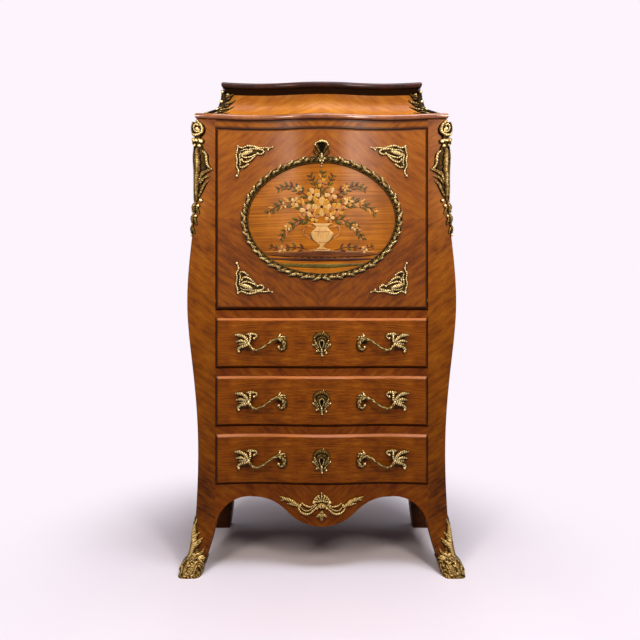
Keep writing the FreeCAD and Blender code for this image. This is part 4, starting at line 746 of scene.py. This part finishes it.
def leafy_oval(cast):
    """Ridged band, inner rim, and a run of leaves up each side."""
    band = [(*oval_point(turn, 1), 2, 8, 5.5) for turn in OVAL_TURNS]
    limb(cast, band, closed=True, sides=12, twist=80, polish=0.7)
    # The inner rim is kept darker than the band: painted shade along the inner edge of the frame.
    rim = [(*oval_point(turn, -8), 1.5, 2, 3.5) for turn in OVAL_TURNS]
    limb(cast, rim, closed=True, sides=6, cuts=0, polish=0.55)
    for side in (-1, 1):
        for leaf in range(LEAVES_A_SIDE):
            start = math.pi * (leaf + 0.1) / LEAVES_A_SIDE
            lean = LEAF_LEANS[leaf % len(LEAF_LEANS)]
            stations = []
            for share, width, lift in ((0, 1.5, 4), (0.35, 5, 6.5), (0.7, 4, 6.5), (1, 0.8, 4)):
                across, up = oval_point(start + LEAF_TURN * share, 2 + lean * share ** 1.5)
                stations.append((side * across, up, lift, width, 3.4))
            limb(cast, stations, lobes=2, sides=8, polish=1.1)


fix("oval_wreath", laid((leafy_oval, front_bed(0, fall_level * 1000))), [gilt], "fall", "gilt_bronze",
    "oval_frame")


# Corner mounts of the fall: four openwork castings, each a cabochon held by C-scrolls in the corner, with
# two tapering beaded arms along the edges.
CORNER_GROUND = [
    [(6, -12, 0.6, 4, 1.6), (20, -22, 0.6, 14, 1.8), (40, -20, 0.6, 13, 1.8), (60, -16, 0.6, 9, 1.6),
     (84, -12, 0.6, 3, 1.2)],
    [(9, -18, 0.6, 4, 1.6), (15, -34, 0.6, 12, 1.8), (18, -48, 0.6, 11, 1.8), (11, -64, 0.6, 6, 1.6),
     (7, -82, 0.6, 2, 1.2)],
]
CORNER_SCROLLS = [
    [(8, -5, 2, 2, 3), (20, -9, 2, 3.2, 4.5), (35, -3, 2, 3.6, 5), (51, -4, 2, 3.8, 5), (62, -8, 2, 4, 5),
     (72, -9, 2, 3.6, 5), (86, -8, 2, 3, 4.5), (96, -10, 1.5, 2.4, 4), (106, -6, 1, 1, 2)],
    [(40, -9, 2, 2, 3), (52, -11, 2, 3.4, 4.5), (66, -12, 2, 3.6, 5), (78, -15, 2, 3.6, 5),
     (80, -22, 2, 3.4, 5), (70, -27, 2, 3.2, 4.5), (62, -23, 2, 2, 3)],
    [(8, -5, 2, 2, 3), (7, -16, 2, 3, 4.5), (3.5, -30, 2, 3.2, 4.5), (6, -45, 2, 3.4, 5),
     (4, -60, 2, 3.2, 4.5), (9, -70, 2, 2.8, 4), (9, -80, 1.5, 2.6, 3.5), (5, -91, 1, 1.2, 2)],
    [(16, -22, 2, 2, 3), (18, -31, 2, 3, 4.5), (28, -36, 2, 3.2, 5), (42, -34, 2, 3.2, 5),
     (54, -29, 2, 3.2, 5), (62, -25, 2, 2, 3)],
    [(14, -20, 2, 1.5, 3), (22, -15, 2, 2.2, 4), (36, -13, 2, 2.4, 4), (50, -15, 2, 2, 3.5)],
    [(58, -29, 2, 2, 3), (50, -37, 2, 3.6, 5), (42, -44, 2, 3.6, 5), (30, -49, 2, 3.6, 5),
     (21, -46, 2, 3, 4.5), (19, -40, 2, 2, 3)],
    [(37, -52, 2, 2, 3), (30, -60, 2, 3.4, 4.5), (20, -64, 2, 3.4, 4.5), (12, -62, 2, 2, 3)],
    [(12, -24, 2, 2, 3), (13, -38, 2, 3, 4.5), (15, -50, 2, 3, 4.5), (12, -60, 2, 2.4, 4)],
]
CORNER_BEADS = [(93, -14, 3.2), (105, -7, 2.6), (10, -74, 3.6), (5, -88, 4), (63, -24, 3.6), (19, -41, 3),
                (8, -4, 3.4), (36, -55, 2.6)]


def corner_scrolls(cast):
    """Ground, scrolls, cabochon and beads of one corner."""
    # The ground between the scrolls is kept darker: partly patina, partly painted shade between them.
    for ground in CORNER_GROUND:
        limb(cast, ground, polish=0.45)
    for scroll in CORNER_SCROLLS:
        limb(cast, scroll)
    limb(cast, [(17, -28, 2, 2.5, 3), (24, -26, 2.5, 6.5, 5.5), (33, -23, 2.5, 7.5, 6),
                (42, -20, 2.5, 6.5, 5.5), (49, -18, 2, 2.5, 3)], sides=14)
    for across, up, radius in CORNER_BEADS:
        bead(cast, across, up, 2.5, radius)


CORNER_ACROSS = 244
CORNER_DROP = 46
CORNER_RISE = 41
corner_beds = []
for side in (-1, 1):
    corner_beds.append((1, side, fall_high.z * 1000 - CORNER_DROP))
    corner_beds.append((-1, side, fall_low.z * 1000 + CORNER_RISE))


def corner_bed(upright, side, z):
    """Lays a corner pattern inward from its corner, turned over on the lower ones."""
    flat = front_bed(side * CORNER_ACROSS, z, side=-side)
    return lambda across, up, out: flat(across, upright * up, out)


corners = laid(*[(corner_scrolls, corner_bed(*bed)) for bed in corner_beds])
fix("fall_corner_scrolls", corners, [gilt], "fall", "gilt_bronze", "fall_corner_mounts")


# Keyhole mount of the fall: a hooded shell on two curled stems over a deep keyhole, its foot lying on the
# oval frame with a bell flower hanging into the oval.

def fall_keyhole(cast):
    """Plate, hood, stems, foot and hanging flower."""
    keyhole_plate(cast, 13, 12, -22, polish=0.1)
    limb(cast, [(-17, 3, 3, 2.5, 3), (-17, 9, 3.5, 3.4, 4), (-9, 13.5, 4, 3.8, 4.5), (1, 15.5, 4, 3.6, 4.5),
                (11, 13, 4, 3.8, 4.5), (17, 8, 3.5, 3.4, 4), (16.5, 2, 3, 2.4, 3)])
    mirrored_limbs(cast, [
        [(15, 6, 2.5, 3, 3), (13, -2, 3, 6, 5), (9, -10, 3, 3.6, 4), (4, -18, 3.5, 2, 3)],
        [(19, -5, 2.5, 2, 3), (21, -12, 3, 3.2, 4), (16, -19, 3.5, 3.4, 4), (13, -26, 5, 2.4, 3)],
        [(9, -20, 4, 2, 3), (7, -27, 7, 3.4, 4), (2, -33, 9, 2.4, 3)],
        [(10, -27, 7, 2.4, 3), (22, -30, 9, 3.4, 3.5), (34, -32, 8.5, 3, 3), (46, -36, 6, 1, 1)],
    ], lobes=2, polish=0.65)
    limb(cast, [(0, -18, 4, 2.4, 4), (0, -26, 9, 5, 5), (0, -36, 9, 3.5, 4)], lobes=2)
    for across, up, lift, radius in ((-3.5, -41, 8, 3.6), (4, -41, 8, 3.2), (0.5, -47, 5, 2.8),
                                     (-0.5, -54, 3, 2.8), (0, 17, 4, 3), (-18, 5, 4, 3), (18, 5, 4, 3)):
        bead(cast, across, up, lift, radius)


FALL_KEYHOLE_DROP = 55
hood = laid((fall_keyhole, front_bed(0, fall_high.z * 1000 - FALL_KEYHOLE_DROP)))
fix("fall_keyhole_mount", hood, [gilt], "fall", "gilt_bronze", "fall_escutcheon")


# Apron mount: a gilt bronze cartouche in the middle of the apron, a hooded cabochon over a hanging leaf,
# double C-scrolls to both sides and leafy ends that rise outward.
APRON_SCROLLS = [
    [(12, 2, 2, 2.4, 3.3), (22, -8, 2, 3.6, 5), (37, -19, 2, 4.1, 5.5), (54, -17, 2, 4.1, 5.5),
     (65, -4, 2, 3.6, 5), (60, 8, 2, 2.4, 3.3)],
    [(14, 8, 2, 1.8, 3.3), (26, -3, 2, 2.4, 3.9), (38, -10, 2, 2.6, 3.9), (50, -9, 2, 2.4, 3.9),
     (58, 0, 2, 1.8, 3.3)],
    [(16, 10, 2, 2.4, 3.3), (30, 1, 2, 3.1, 4.4), (44, 3, 2, 3.1, 4.4), (58, 12, 2, 2.4, 3.3)],
    [(4, 34, 2, 2.4, 3.3), (15, 28, 2.5, 3.6, 4.4), (22, 18, 2.5, 3.6, 4.4), (27, 13, 2, 2.4, 3.3)],
]
APRON_LEAVES = [
    [(58, -2, 2, 3.5, 4), (72, 8, 3, 6.6, 6), (88, 17, 3, 7.6, 6), (104, 22, 2.5, 6, 5),
     (119, 27, 1.5, 1.4, 1.1)],
    [(98, 20, 2.5, 2.5, 3), (109, 18, 2, 3.2, 3.3), (117, 16, 1.5, 1.2, 1.1)],
    [(66, 2, 3, 2.4, 3.3), (78, 5, 3, 4.2, 4.4), (90, 8, 2.5, 3.6, 3.6), (99, 7, 1.5, 1.2, 1.1)],
    [(4, -16, 3, 2.7, 3.3), (10, -24, 3, 5.4, 4.4), (16, -27, 2, 1.4, 1.1)],
]


def shell(cast, up, reach, ribs):
    """Fan of ribs that opens upward."""
    for rib in range(ribs):
        turn = math.radians(12 + 156 * rib / (ribs - 1))
        across, rise = math.cos(turn), math.sin(turn)
        limb(cast, [(across * reach * share, up + rise * reach * share, lift, width, crown)
                    for share, lift, width, crown in ((0.25, 2, 0.8, 2), (0.62, 2.5, reach * 0.13, 3.4),
                                                      (0.98, 1.5, reach * 0.12, 2.6))])


def apron_cartouche(cast):
    """Scrolls, leaves, fan, cabochon, hanging leaf and beads."""
    mirrored_limbs(cast, APRON_SCROLLS)
    mirrored_limbs(cast, APRON_LEAVES, lobes=4)
    shell(cast, 12, 23, 7)
    limb(cast, [(-13, 4, 2, 3, 3), (-6, 4, 3, 9, 7), (6, 4, 3, 9, 7), (13, 4, 2, 3, 3)], sides=14)
    limb(cast, [(-14, 14, 3, 2, 3), (0, 18, 4, 3, 4), (14, 14, 3, 2, 3)])
    limb(cast, [(0, -8, 3, 3, 4), (0, -22, 4, 8, 6), (0, -34, 3, 5, 4), (0, -41, 1.5, 1, 1)], lobes=4,
         sides=12)
    for across, up, radius in ((0, 39, 2.6), (-22, 14, 5), (23, 13, 6), (-60, 5, 4), (60, 5, 4),
                               (-13, -4, 3), (13, -4, 3)):
        bead(cast, across, up, 3, radius)


# The lower castings take a warmer, more golden copy of the gilding: a painted reflection.
gilt_painted_warm = gilding("gilt bronze, painted warmer reflection", ("#0f0903", "#271b08", "#503a12", "#80632a", "#ccb272"))
APRON_LEVEL = 182
cartouche = laid((apron_cartouche, front_bed(0, APRON_LEVEL, proud=0)))
fix("apron_cartouche", cartouche, [gilt_painted_warm], "carcass", "gilt_bronze", "apron_mount")


# Shoulder mounts: long bronze leaves bent round the outer corners of the front posts, a pierced scroll on
# top, a leaf that throws a tip inward, and bell flowers dwindling below.

def wood_of(*names):
    """Faces of solid pieces, to lay castings on."""
    gathered = bmesh.new()
    for name in names:
        gathered.from_mesh(nodes[name].data)
    tree = BVHTree.FromBMesh(gathered)
    gathered.free()
    return tree


def arris_bed(tree, side, z, inset, lowest=0.001, highest=1.273):
    """Lays a pattern round an upright outer corner: across is inward on the front, or backward where
    negative. The corner is felt for at depth inset; past lowest and highest the bed goes straight on."""
    level = {}
    into = Vector((-side, 1, 0)).normalized()
    along = Vector((-side, -1, 0)).normalized()

    def corner(height):
        if height not in level:
            from_side = tree.ray_cast(Vector((side, inset, height)), Vector((-side, 0, 0)))[0]
            past_round = from_side.x - side * 0.012
            from_front = tree.ray_cast(Vector((past_round, -1, height)), Vector((0, 1, 0)))[0]
            level[height] = Vector((from_side.x, from_front.y, height))
        return level[height]

    def bed(across, up, out):
        height = (z + up) / 1000
        held = min(max(height, lowest), highest)
        start = corner(round(held, 4)) + along * across / 1000 * math.sqrt(0.5)
        hit = tree.ray_cast(start - into * 0.2, into)[0] or start
        return hit - into * out / 1000 + Vector((0, 0, height - held))
    return bed


SHOULDER_GROUND = [
    [(6, -4, 5, 5, 3), (5, -26, 10, 14, 4), (4, -48, 10, 12, 4), (5, -70, 9, 9, 4), (5, -92, 8, 7, 4)],
    [(6, -70, 5, 8, 3), (11, -104, 5, 16, 4), (12, -132, 4, 17, 4), (9, -162, 3, 12, 3.5),
     (6, -200, 2.5, 9, 3), (5, -228, 1.5, 4, 1.5)],
]
SHOULDER_SCROLLS = [
    ([(5, -4, 8, 3, 4), (17, -16, 8, 4.6, 5), (20, -32, 8, 4.8, 5.5), (11, -45, 12, 4.8, 5.5),
      (-1, -44, 17, 5.2, 6), (-6, -26, 19, 5.4, 6), (0, -9, 14, 4.4, 5)], 9),
    ([(12, -12, 11, 2, 3), (3, -20, 14, 3.4, 4), (4, -33, 14, 3.6, 4), (12, -36, 11, 3.2, 4),
      (14, -27, 11, 2.4, 4)], 0),
    ([(-9, -58, 18, 4.6, 5), (4, -61, 16, 7.4, 6), (20, -60, 6, 4, 4)], 3),
    ([(16, -88, 5, 2.6, 3.5), (26, -98, 5, 3.8, 5), (29, -122, 4.5, 3.8, 5), (34, -134, 3.5, 3.4, 4.5),
      (42, -140, 2, 1.2, 1.5)], 5),
    ([(-4, -76, 13, 3.6, 4), (-5, -108, 15, 5.6, 5.5), (-4, -150, 11, 5.6, 5.5), (-2, -196, 8, 5, 5),
      (0, -232, 5, 2.2, 3)], 11),
]
SHOULDER_LEAVES = [
    ([(4, -80, 8, 3.4, 4), (7, -103, 11, 8.4, 6.5), (8, -132, 10, 9, 6.5), (7, -164, 9, 8, 6.5),
      (7, -190, 8, 6.8, 6), (7, -212, 6, 5.4, 5), (7, -230, 3, 1.6, 2)], 9),
    ([(6, -84, 12, 1.2, 3), (8, -104, 14, 2, 3.5), (10, -132, 13, 2.2, 3.5), (9, -164, 12, 2, 3.5),
      (8, -190, 10.5, 1.8, 3), (8, -216, 8, 1.2, 2)], 0),
    ([(10, -178, 6, 3, 4), (16, -158, 6, 5.8, 5.5), (26, -147, 5, 6, 5.5), (42, -139, 2, 1.4, 1.5)], 3),
    ([(12, -182, 5, 3, 4), (24, -164, 5, 5, 5), (36, -158, 2, 1.4, 1.5)], 2),
    ([(12, -218, 4, 2.8, 4), (20, -196, 4.5, 4.2, 4.5), (24, -183, 4, 4.4, 4.5), (33, -171, 2, 1.4, 1.5)],
     3),
    ([(-4, -200, 4, 3, 4), (-12, -168, 5, 6, 5), (-20, -150, 5, 6, 5), (-30, -138, 2, 1.4, 1.5)], 4),
    ([(5, -232, 4, 3, 3), (3, -247, 8, 8.8, 7), (3, -262, 4, 3.4, 3)], 2),
    ([(2, -264, 4, 3, 3), (2, -278, 7, 8, 7), (1, -294, 4, 3, 3)], 2),
    ([(0, -294, 3, 2.6, 3), (0, -307, 5, 6.4, 6), (0, -322, 2.5, 2.4, 2.5)], 2),
    ([(3, -224, 3, 3, 3), (3, -258, 4, 4, 4), (2, -290, 4, 3.6, 4), (1, -326, 2, 1.4, 2)], 8),
    ([(5, -240, 4, 2.4, 3), (12, -254, 4.5, 4, 4), (17, -266, 3, 1.2, 1.5)], 2),
    ([(4, -272, 4, 2.4, 3), (9, -284, 4.5, 3.8, 4), (13, -297, 3, 1.2, 1.5)], 2),
    ([(2, -302, 3, 2, 3), (7, -312, 3.5, 3.2, 3.5), (10, -322, 2, 1.2, 1.5)], 2),
]
SHOULDER_BEADS = [(9, -28, 11, 5.4), (9, -16, 10, 4), (-8, -67, 17, 6), (16, -63, 8, 5.4), (11, -75, 8, 5),
                  (1, -74, 13, 5), (19, -228, 5, 4.8), (13, -243, 5, 4.4), (-2, -257, 7, 5),
                  (10, -272, 5, 4), (2, -325, 3, 4), (28, -110, 5, 3.4), (29, -121, 5, 3.4)]


def shoulder(cast):
    """One mount, from its scroll down to the last flower."""
    # The ground under the scrolls and leaves is kept darker: partly patina, partly painted shade between
    # them.
    for ground in SHOULDER_GROUND:
        limb(cast, ground, polish=0.5, cuts=4.0)
    for scroll, lobes in SHOULDER_SCROLLS:
        limb(cast, scroll, lobes=lobes)
    for leaf, lobes in SHOULDER_LEAVES:
        limb(cast, leaf, lobes=lobes, sides=12, polish=0.88)
    for across, up, lift, radius in SHOULDER_BEADS:
        bead(cast, across, up, lift, radius)


SHOULDER_TOP = 1272
SHOULDER_Y = -0.14
post_faces = wood_of("front_left_post", "front_right_post")
shoulders = laid(*[(shoulder, arris_bed(post_faces, side, SHOULDER_TOP, SHOULDER_Y)) for side in (-1, 1)])
fix("shoulder_leaves", shoulders, [gilt], "carcass", "gilt_bronze", "knee_mounts")


# Shoes: cast bronze cups in which the front legs stand, with a rolled toe. Leaves lie on them, the
# tallest climbing the outer corner of the leg.

def chased(name, tones):
    """Cast bronze covered with small chased leaves: wavy ridges, drawn as coarse as they need to show,
    rubbed bright, with brown between them."""
    material, tree, shader = finish_of(name, Metallic=0.95)
    place = add(tree, "TexCoord").outputs["Object"]
    ridge = add(tree, "TexWave", {"Vector": place, "Scale": 42.0, "Distortion": 14.0, "Detail": 2.0,
                                  "Detail Scale": 1.4}, bands_direction="DIAGONAL")
    leaf = add(tree, "TexVoronoi", {"Vector": place, "Scale": 130.0})
    height = add(tree, "Math", {0: leaf, 1: -0.7, 2: ridge}, operation="MULTIPLY_ADD")
    tone = tone_ramp(tree, height, tones, -0.35, 0.85)
    rough = add(tree, "MapRange", {0: height, 1: -0.3, 2: 0.9, 3: 0.6, 4: 0.32})
    bump = add(tree, "Bump", {"Height": height, "Strength": 0.6, "Distance": 0.0016})
    show(tree, shader, tone, rough, bump)
    return material


dress(chased("chased bronze of the shoes", ("#33250d", "#4c3814", "#6b5222", "#8f7339", "#bca36c")),
      "gilt_bronze", "sabots")
SHOE_LEAVES = [
    ([(8, 52, 2, 5, 4), (8, 70, 3, 10, 7), (9, 92, 3, 10, 7), (7, 118, 2.5, 7, 5.5), (4, 136, 2, 4, 4),
      (3, 150, 1, 1, 1)], 0),
    ([(9, 70, 3, 4, 4), (17, 84, 3.5, 6.4, 5.5), (24, 92, 2.5, 4.4, 4), (30, 98, 1, 1, 1)], 3),
    ([(8, 92, 3, 4, 4), (14, 104, 3.5, 5, 5), (22, 114, 1, 1, 1)], 2),
    ([(-2, 52, 2, 4, 4), (-10, 74, 3, 7, 6), (-14, 100, 2.5, 5, 5), (-18, 124, 1, 1, 1)], 4),
    ([(8, 44, 2, 4, 4), (20, 50, 3, 6, 5.5), (29, 58, 2, 5, 4.5), (32, 70, 1, 1, 1)], 3),
    ([(34, 6, 1.5, 4, 3.5), (38, 22, 2, 6, 4.5), (40, 36, 1.5, 4, 3.5), (42, 47, 0.6, 1, 1)], 3),
    ([(24, 10, 1.5, 4, 3.5), (24, 24, 2, 6, 5), (19, 36, 2, 5, 4.5), (10, 44, 1.5, 2, 2)], 3),
    ([(-6, 14, 0.4, 3, 2), (-4, 28, 1, 6, 4), (2, 42, 1.5, 5, 4), (6, 54, 1, 2, 2)], 3),
    ([(42, 5, 1, 3, 2.5), (44, 16, 2, 5.2, 4), (43, 28, 1.8, 4.6, 4), (40, 38, 0.8, 1.4, 1.4)], 3),
    ([(50, 5, 0.8, 1.8, 2), (51, 14, 1.6, 3.4, 3.2), (50, 24, 1.4, 3.2, 3), (47, 33, 0.6, 1, 1)], 3),
]
SHOE_SCROLLS = [
    [(-16, 6, 0, 2, 1.5), (-10, 20, 0.2, 3.5, 2.5), (2, 28, 0.6, 4, 3.5), (12, 22, 0.8, 4, 3.5),
     (13, 12, 0.8, 3.5, 3), (6, 8, 0.6, 2.5, 2.5)],
    [(6, 50, 2, 2, 3), (16, 58, 2.5, 3.4, 4.5), (24, 52, 2.5, 3.4, 4.5), (24, 42, 2, 3, 4),
     (17, 40, 2, 2, 3)],
    [(28, 43, 1.5, 1.8, 2.5), (32, 50, 1.8, 2.4, 3.2), (37, 49, 1.5, 2.2, 3), (37, 43, 1, 1.4, 2)],
]
SHOE_BEADS = [(6, 52, 4.4), (17, 57, 4), (4, 14, 4), (30, 12, 3.4), (16, 38, 3.4), (28, 30, 3.4),
              (47, 8, 2.6), (38, 38, 2.8)]


def shoe_leaves(cast):
    """Leaves, scrolls and beads of one shoe."""
    for leaf, lobes in SHOE_LEAVES:
        limb(cast, leaf, lobes=lobes, sides=12)
    for scroll in SHOE_SCROLLS:
        limb(cast, scroll)
    for across, up, radius in SHOE_BEADS:
        bead(cast, across, up, 1.5, radius)


SHOE_Y = -0.17
foot_faces = wood_of("front_left_post", "front_right_post", "sabots")
shoes = laid(*[(shoe_leaves, arris_bed(foot_faces, side, 0, SHOE_Y)) for side in (-1, 1)])
fix("shoe_leaves", shoes, [gilt_painted_warm], "carcass", "gilt_bronze")


# Crest mounts: bronze strips of leaf bent over the front corners of the crest, with a curl under
# the crest board and a tail on the top board.
CREST_SPINE = [(2, 3, 15, 6, 3), (2, 8, 19, 8, 4), (3, 16, 19, 9, 5), (4, 32, 11, 11, 5), (5, 48, 13, 11, 5),
               (4, 64, 13, 10, 5), (3, 78, 12, 8, 5), (2, 88, 10, 5, 4)]


def crest_leaf(cast):
    """Spine, pairs of tips and beads of one strip."""
    limb(cast, CREST_SPINE, lobes=9, polish=0.35, sides=12)
    for tip, reach in ((10, 30), (21, 20), (33, 27), (44, 18), (54, 25), (66, 17), (76, 24)):
        for side in (-1, 1):
            limb(cast, [(side * 2 + 3, tip - 14, 12, 3, 4), (side * reach * 0.45 + 3, tip - 4, 10, 5, 4.5),
                        (side * reach * 0.8 + 2, tip + 2, 5, 3, 3),
                        (side * reach + 2, tip + 10, 2, 1, 1)], lobes=3, polish=0.75)
    for across, up, lift, radius in ((3, 84, 13, 5), (13, 78, 7, 4), (-7, 78, 9, 4), (3, 10, 20, 4.6),
                                     (15, 12, 12, 3.4), (5, 28, 15, 4), (5, 54, 16, 4)):
        bead(cast, across, up, lift, radius)


CREST_FOOT = 1291
CREST_HEAD = 1369
crest_faces = wood_of("crest_coves")
crest_beds = [arris_bed(crest_faces, side, CREST_FOOT, 0.0, CREST_FOOT / 1000, CREST_HEAD / 1000)
              for side in (-1, 1)]
crest_leaves = laid(*[(crest_leaf, bed) for bed in crest_beds])
fix("crest_leaves", crest_leaves, [gilt], "carcass", "gilt_bronze", "crest_mounts")


# Studio: a round floor of off-white paper that sweeps up on all sides and is evenly pale away from the desk.
# A soft lamp hangs above, two small ones stand in front and a narrow one behind; more over the desk are
# turned away from it to the paper.

def paper_bowl():
    """Paper laid flat round the desk and swept up in a wall all about it."""
    flat, bend, wall = 2.4, 1.0, 4.0
    length = flat + bend * math.pi / 2 + wall
    shape = bmesh.new()
    for vert in bmesh.ops.create_grid(shape, x_segments=72, y_segments=48, size=1)["verts"]:
        angle = math.pi * vert.co.x
        run = (vert.co.y + 1) / 2 * length
        turn = min(max(run - flat, 0) / bend, math.pi / 2)
        out = min(run, flat) + bend * math.sin(turn)
        rise = bend * (1 - math.cos(turn)) + max(run - flat - bend * math.pi / 2, 0)
        vert.co = (out * math.cos(angle), out * math.sin(angle), rise)
    bmesh.ops.remove_doubles(shape, verts=shape.verts, dist=0.0001)
    for face in shape.faces:
        face.smooth = True
    mesh = bpy.data.meshes.new("paper")
    shape.to_mesh(mesh)
    shape.free()
    return mesh


paper_finish, paper_tree, paper_shader = finish_of("white paper", Roughness=0.9, Specular_IOR_Level=0.0)
paper_place = add(paper_tree, "TexCoord").outputs["Object"]
paper_fibre = add(paper_tree, "TexNoise", {"Vector": paper_place, "Scale": 3.0})
paper_tone = add(paper_tree, "MixRGB", {0: paper_fibre, 1: colour("#f4f3fd"), 2: colour("#f8f7ff")})
paper_path = add(paper_tree, "LightPath").outputs
paper_seen = add(paper_tree, "Math", {0: paper_path["Is Glossy Ray"], 1: paper_path["Is Transmission Ray"]},
                 operation="MAXIMUM")
paper_seen = add(paper_tree, "Math", {0: paper_path["Is Camera Ray"], 1: paper_seen}, operation="MAXIMUM")
paper_tone = add(paper_tree, "MixRGB", {0: paper_seen, 1: colour("#463f41"), 2: paper_tone})
paper_reach = add(paper_tree, "VectorMath", {0: paper_place}, operation="LENGTH").outputs["Value"]
SHADED_FLOOR = 0.42
EVEN_PAPER = 1.15
paper_far = add(paper_tree, "MapRange", {0: paper_reach, 1: SHADED_FLOOR, 2: EVEN_PAPER},
                interpolation_type="SMOOTHSTEP")
paper_glow = add(paper_tree, "Math", {0: paper_seen, 1: paper_far}, operation="MULTIPLY")
paper_tone = add(paper_tree, "MixRGB", {0: paper_glow, 1: paper_tone, 2: colour("#000000")})
paper_tree.links.new(paper_tone.outputs[0], paper_shader.inputs["Base Color"])
paper_tree.links.new(paper_glow.outputs[0], paper_shader.inputs["Emission Strength"])
paper_shader.inputs["Emission Color"].default_value = colour("#fdf4fd")
paper = bpy.data.objects.new("paper", paper_bowl())
paper.data.materials.append(paper_finish)
bpy.context.scene.collection.objects.link(paper)


def soft_light(name, place, aim, size, power, tint):
    """A flat lamp turned to a point."""
    lamp = bpy.data.lights.new(name, "AREA")
    lamp.shape = "RECTANGLE"
    lamp.size, lamp.size_y = size
    lamp.energy = power
    lamp.color = colour(tint)[:3]
    made = bpy.data.objects.new(name, lamp)
    made.location = place
    made.rotation_euler = (Vector(aim) - Vector(place)).to_track_quat("-Z", "Y").to_euler()
    bpy.context.scene.collection.objects.link(made)
    return made


soft_light("above", (0.25, -0.8, 3.0), (0, -0.2, 0.6), (1.3, 0.9), 49, "#f8f4ff")
soft_light("left", (-0.66, -1.56, 1.64), (0, -0.1, 1.0), (0.26, 0.66), 11.5, "#ffeadb")
soft_light("right", (0.62, -1.56, 1.64), (0, -0.1, 1.0), (0.26, 0.66), 15, "#ffeadb")
behind = soft_light("behind", (0, 2.3, 1.75), (0, 0.2, 1.0), (0.9, 0.4), 2.2, "#fff4ea")
behind.data.spread = math.radians(32)
behind.visible_glossy = False
# Angle and power of the lamps that are turned to the paper.
WALL_LAMPS = ((90, 38), (45, 46), (135, 44), (0, 38), (180, 35), (-45, 15), (-135, 15), (-90, 15))
LAMP_RING, LAMP_HEIGHT = 0.9, 2.6
WALL_RING, WALL_HEIGHT = 3.4, 1.85
for angle, power in WALL_LAMPS:
    across, back = math.cos(math.radians(angle)), math.sin(math.radians(angle))
    soft_light("wall", (LAMP_RING * across, LAMP_RING * back, LAMP_HEIGHT),
               (WALL_RING * across, WALL_RING * back, WALL_HEIGHT), (1.4, 0.5), power, "#fffaff")

world = bpy.data.worlds.new("studio air")
bpy.context.scene.world = world
world.use_nodes = True
world.node_tree.nodes["Background"].inputs["Color"].default_value = colour("#ffe4cc")
world.node_tree.nodes["Background"].inputs["Strength"].default_value = 0.09

LENS_LENGTH = 32.23
EYE = (-0.0048, -1.782, 0.708)
lens = bpy.data.cameras.new("camera")
lens.lens = LENS_LENGTH
camera = bpy.data.objects.new("camera", lens)
camera.location = EYE
camera.rotation_euler = (math.radians(90), 0, 0)
bpy.context.scene.collection.objects.link(camera)
bpy.context.scene.camera = camera
bpy.context.scene.view_settings.view_transform = "Standard"
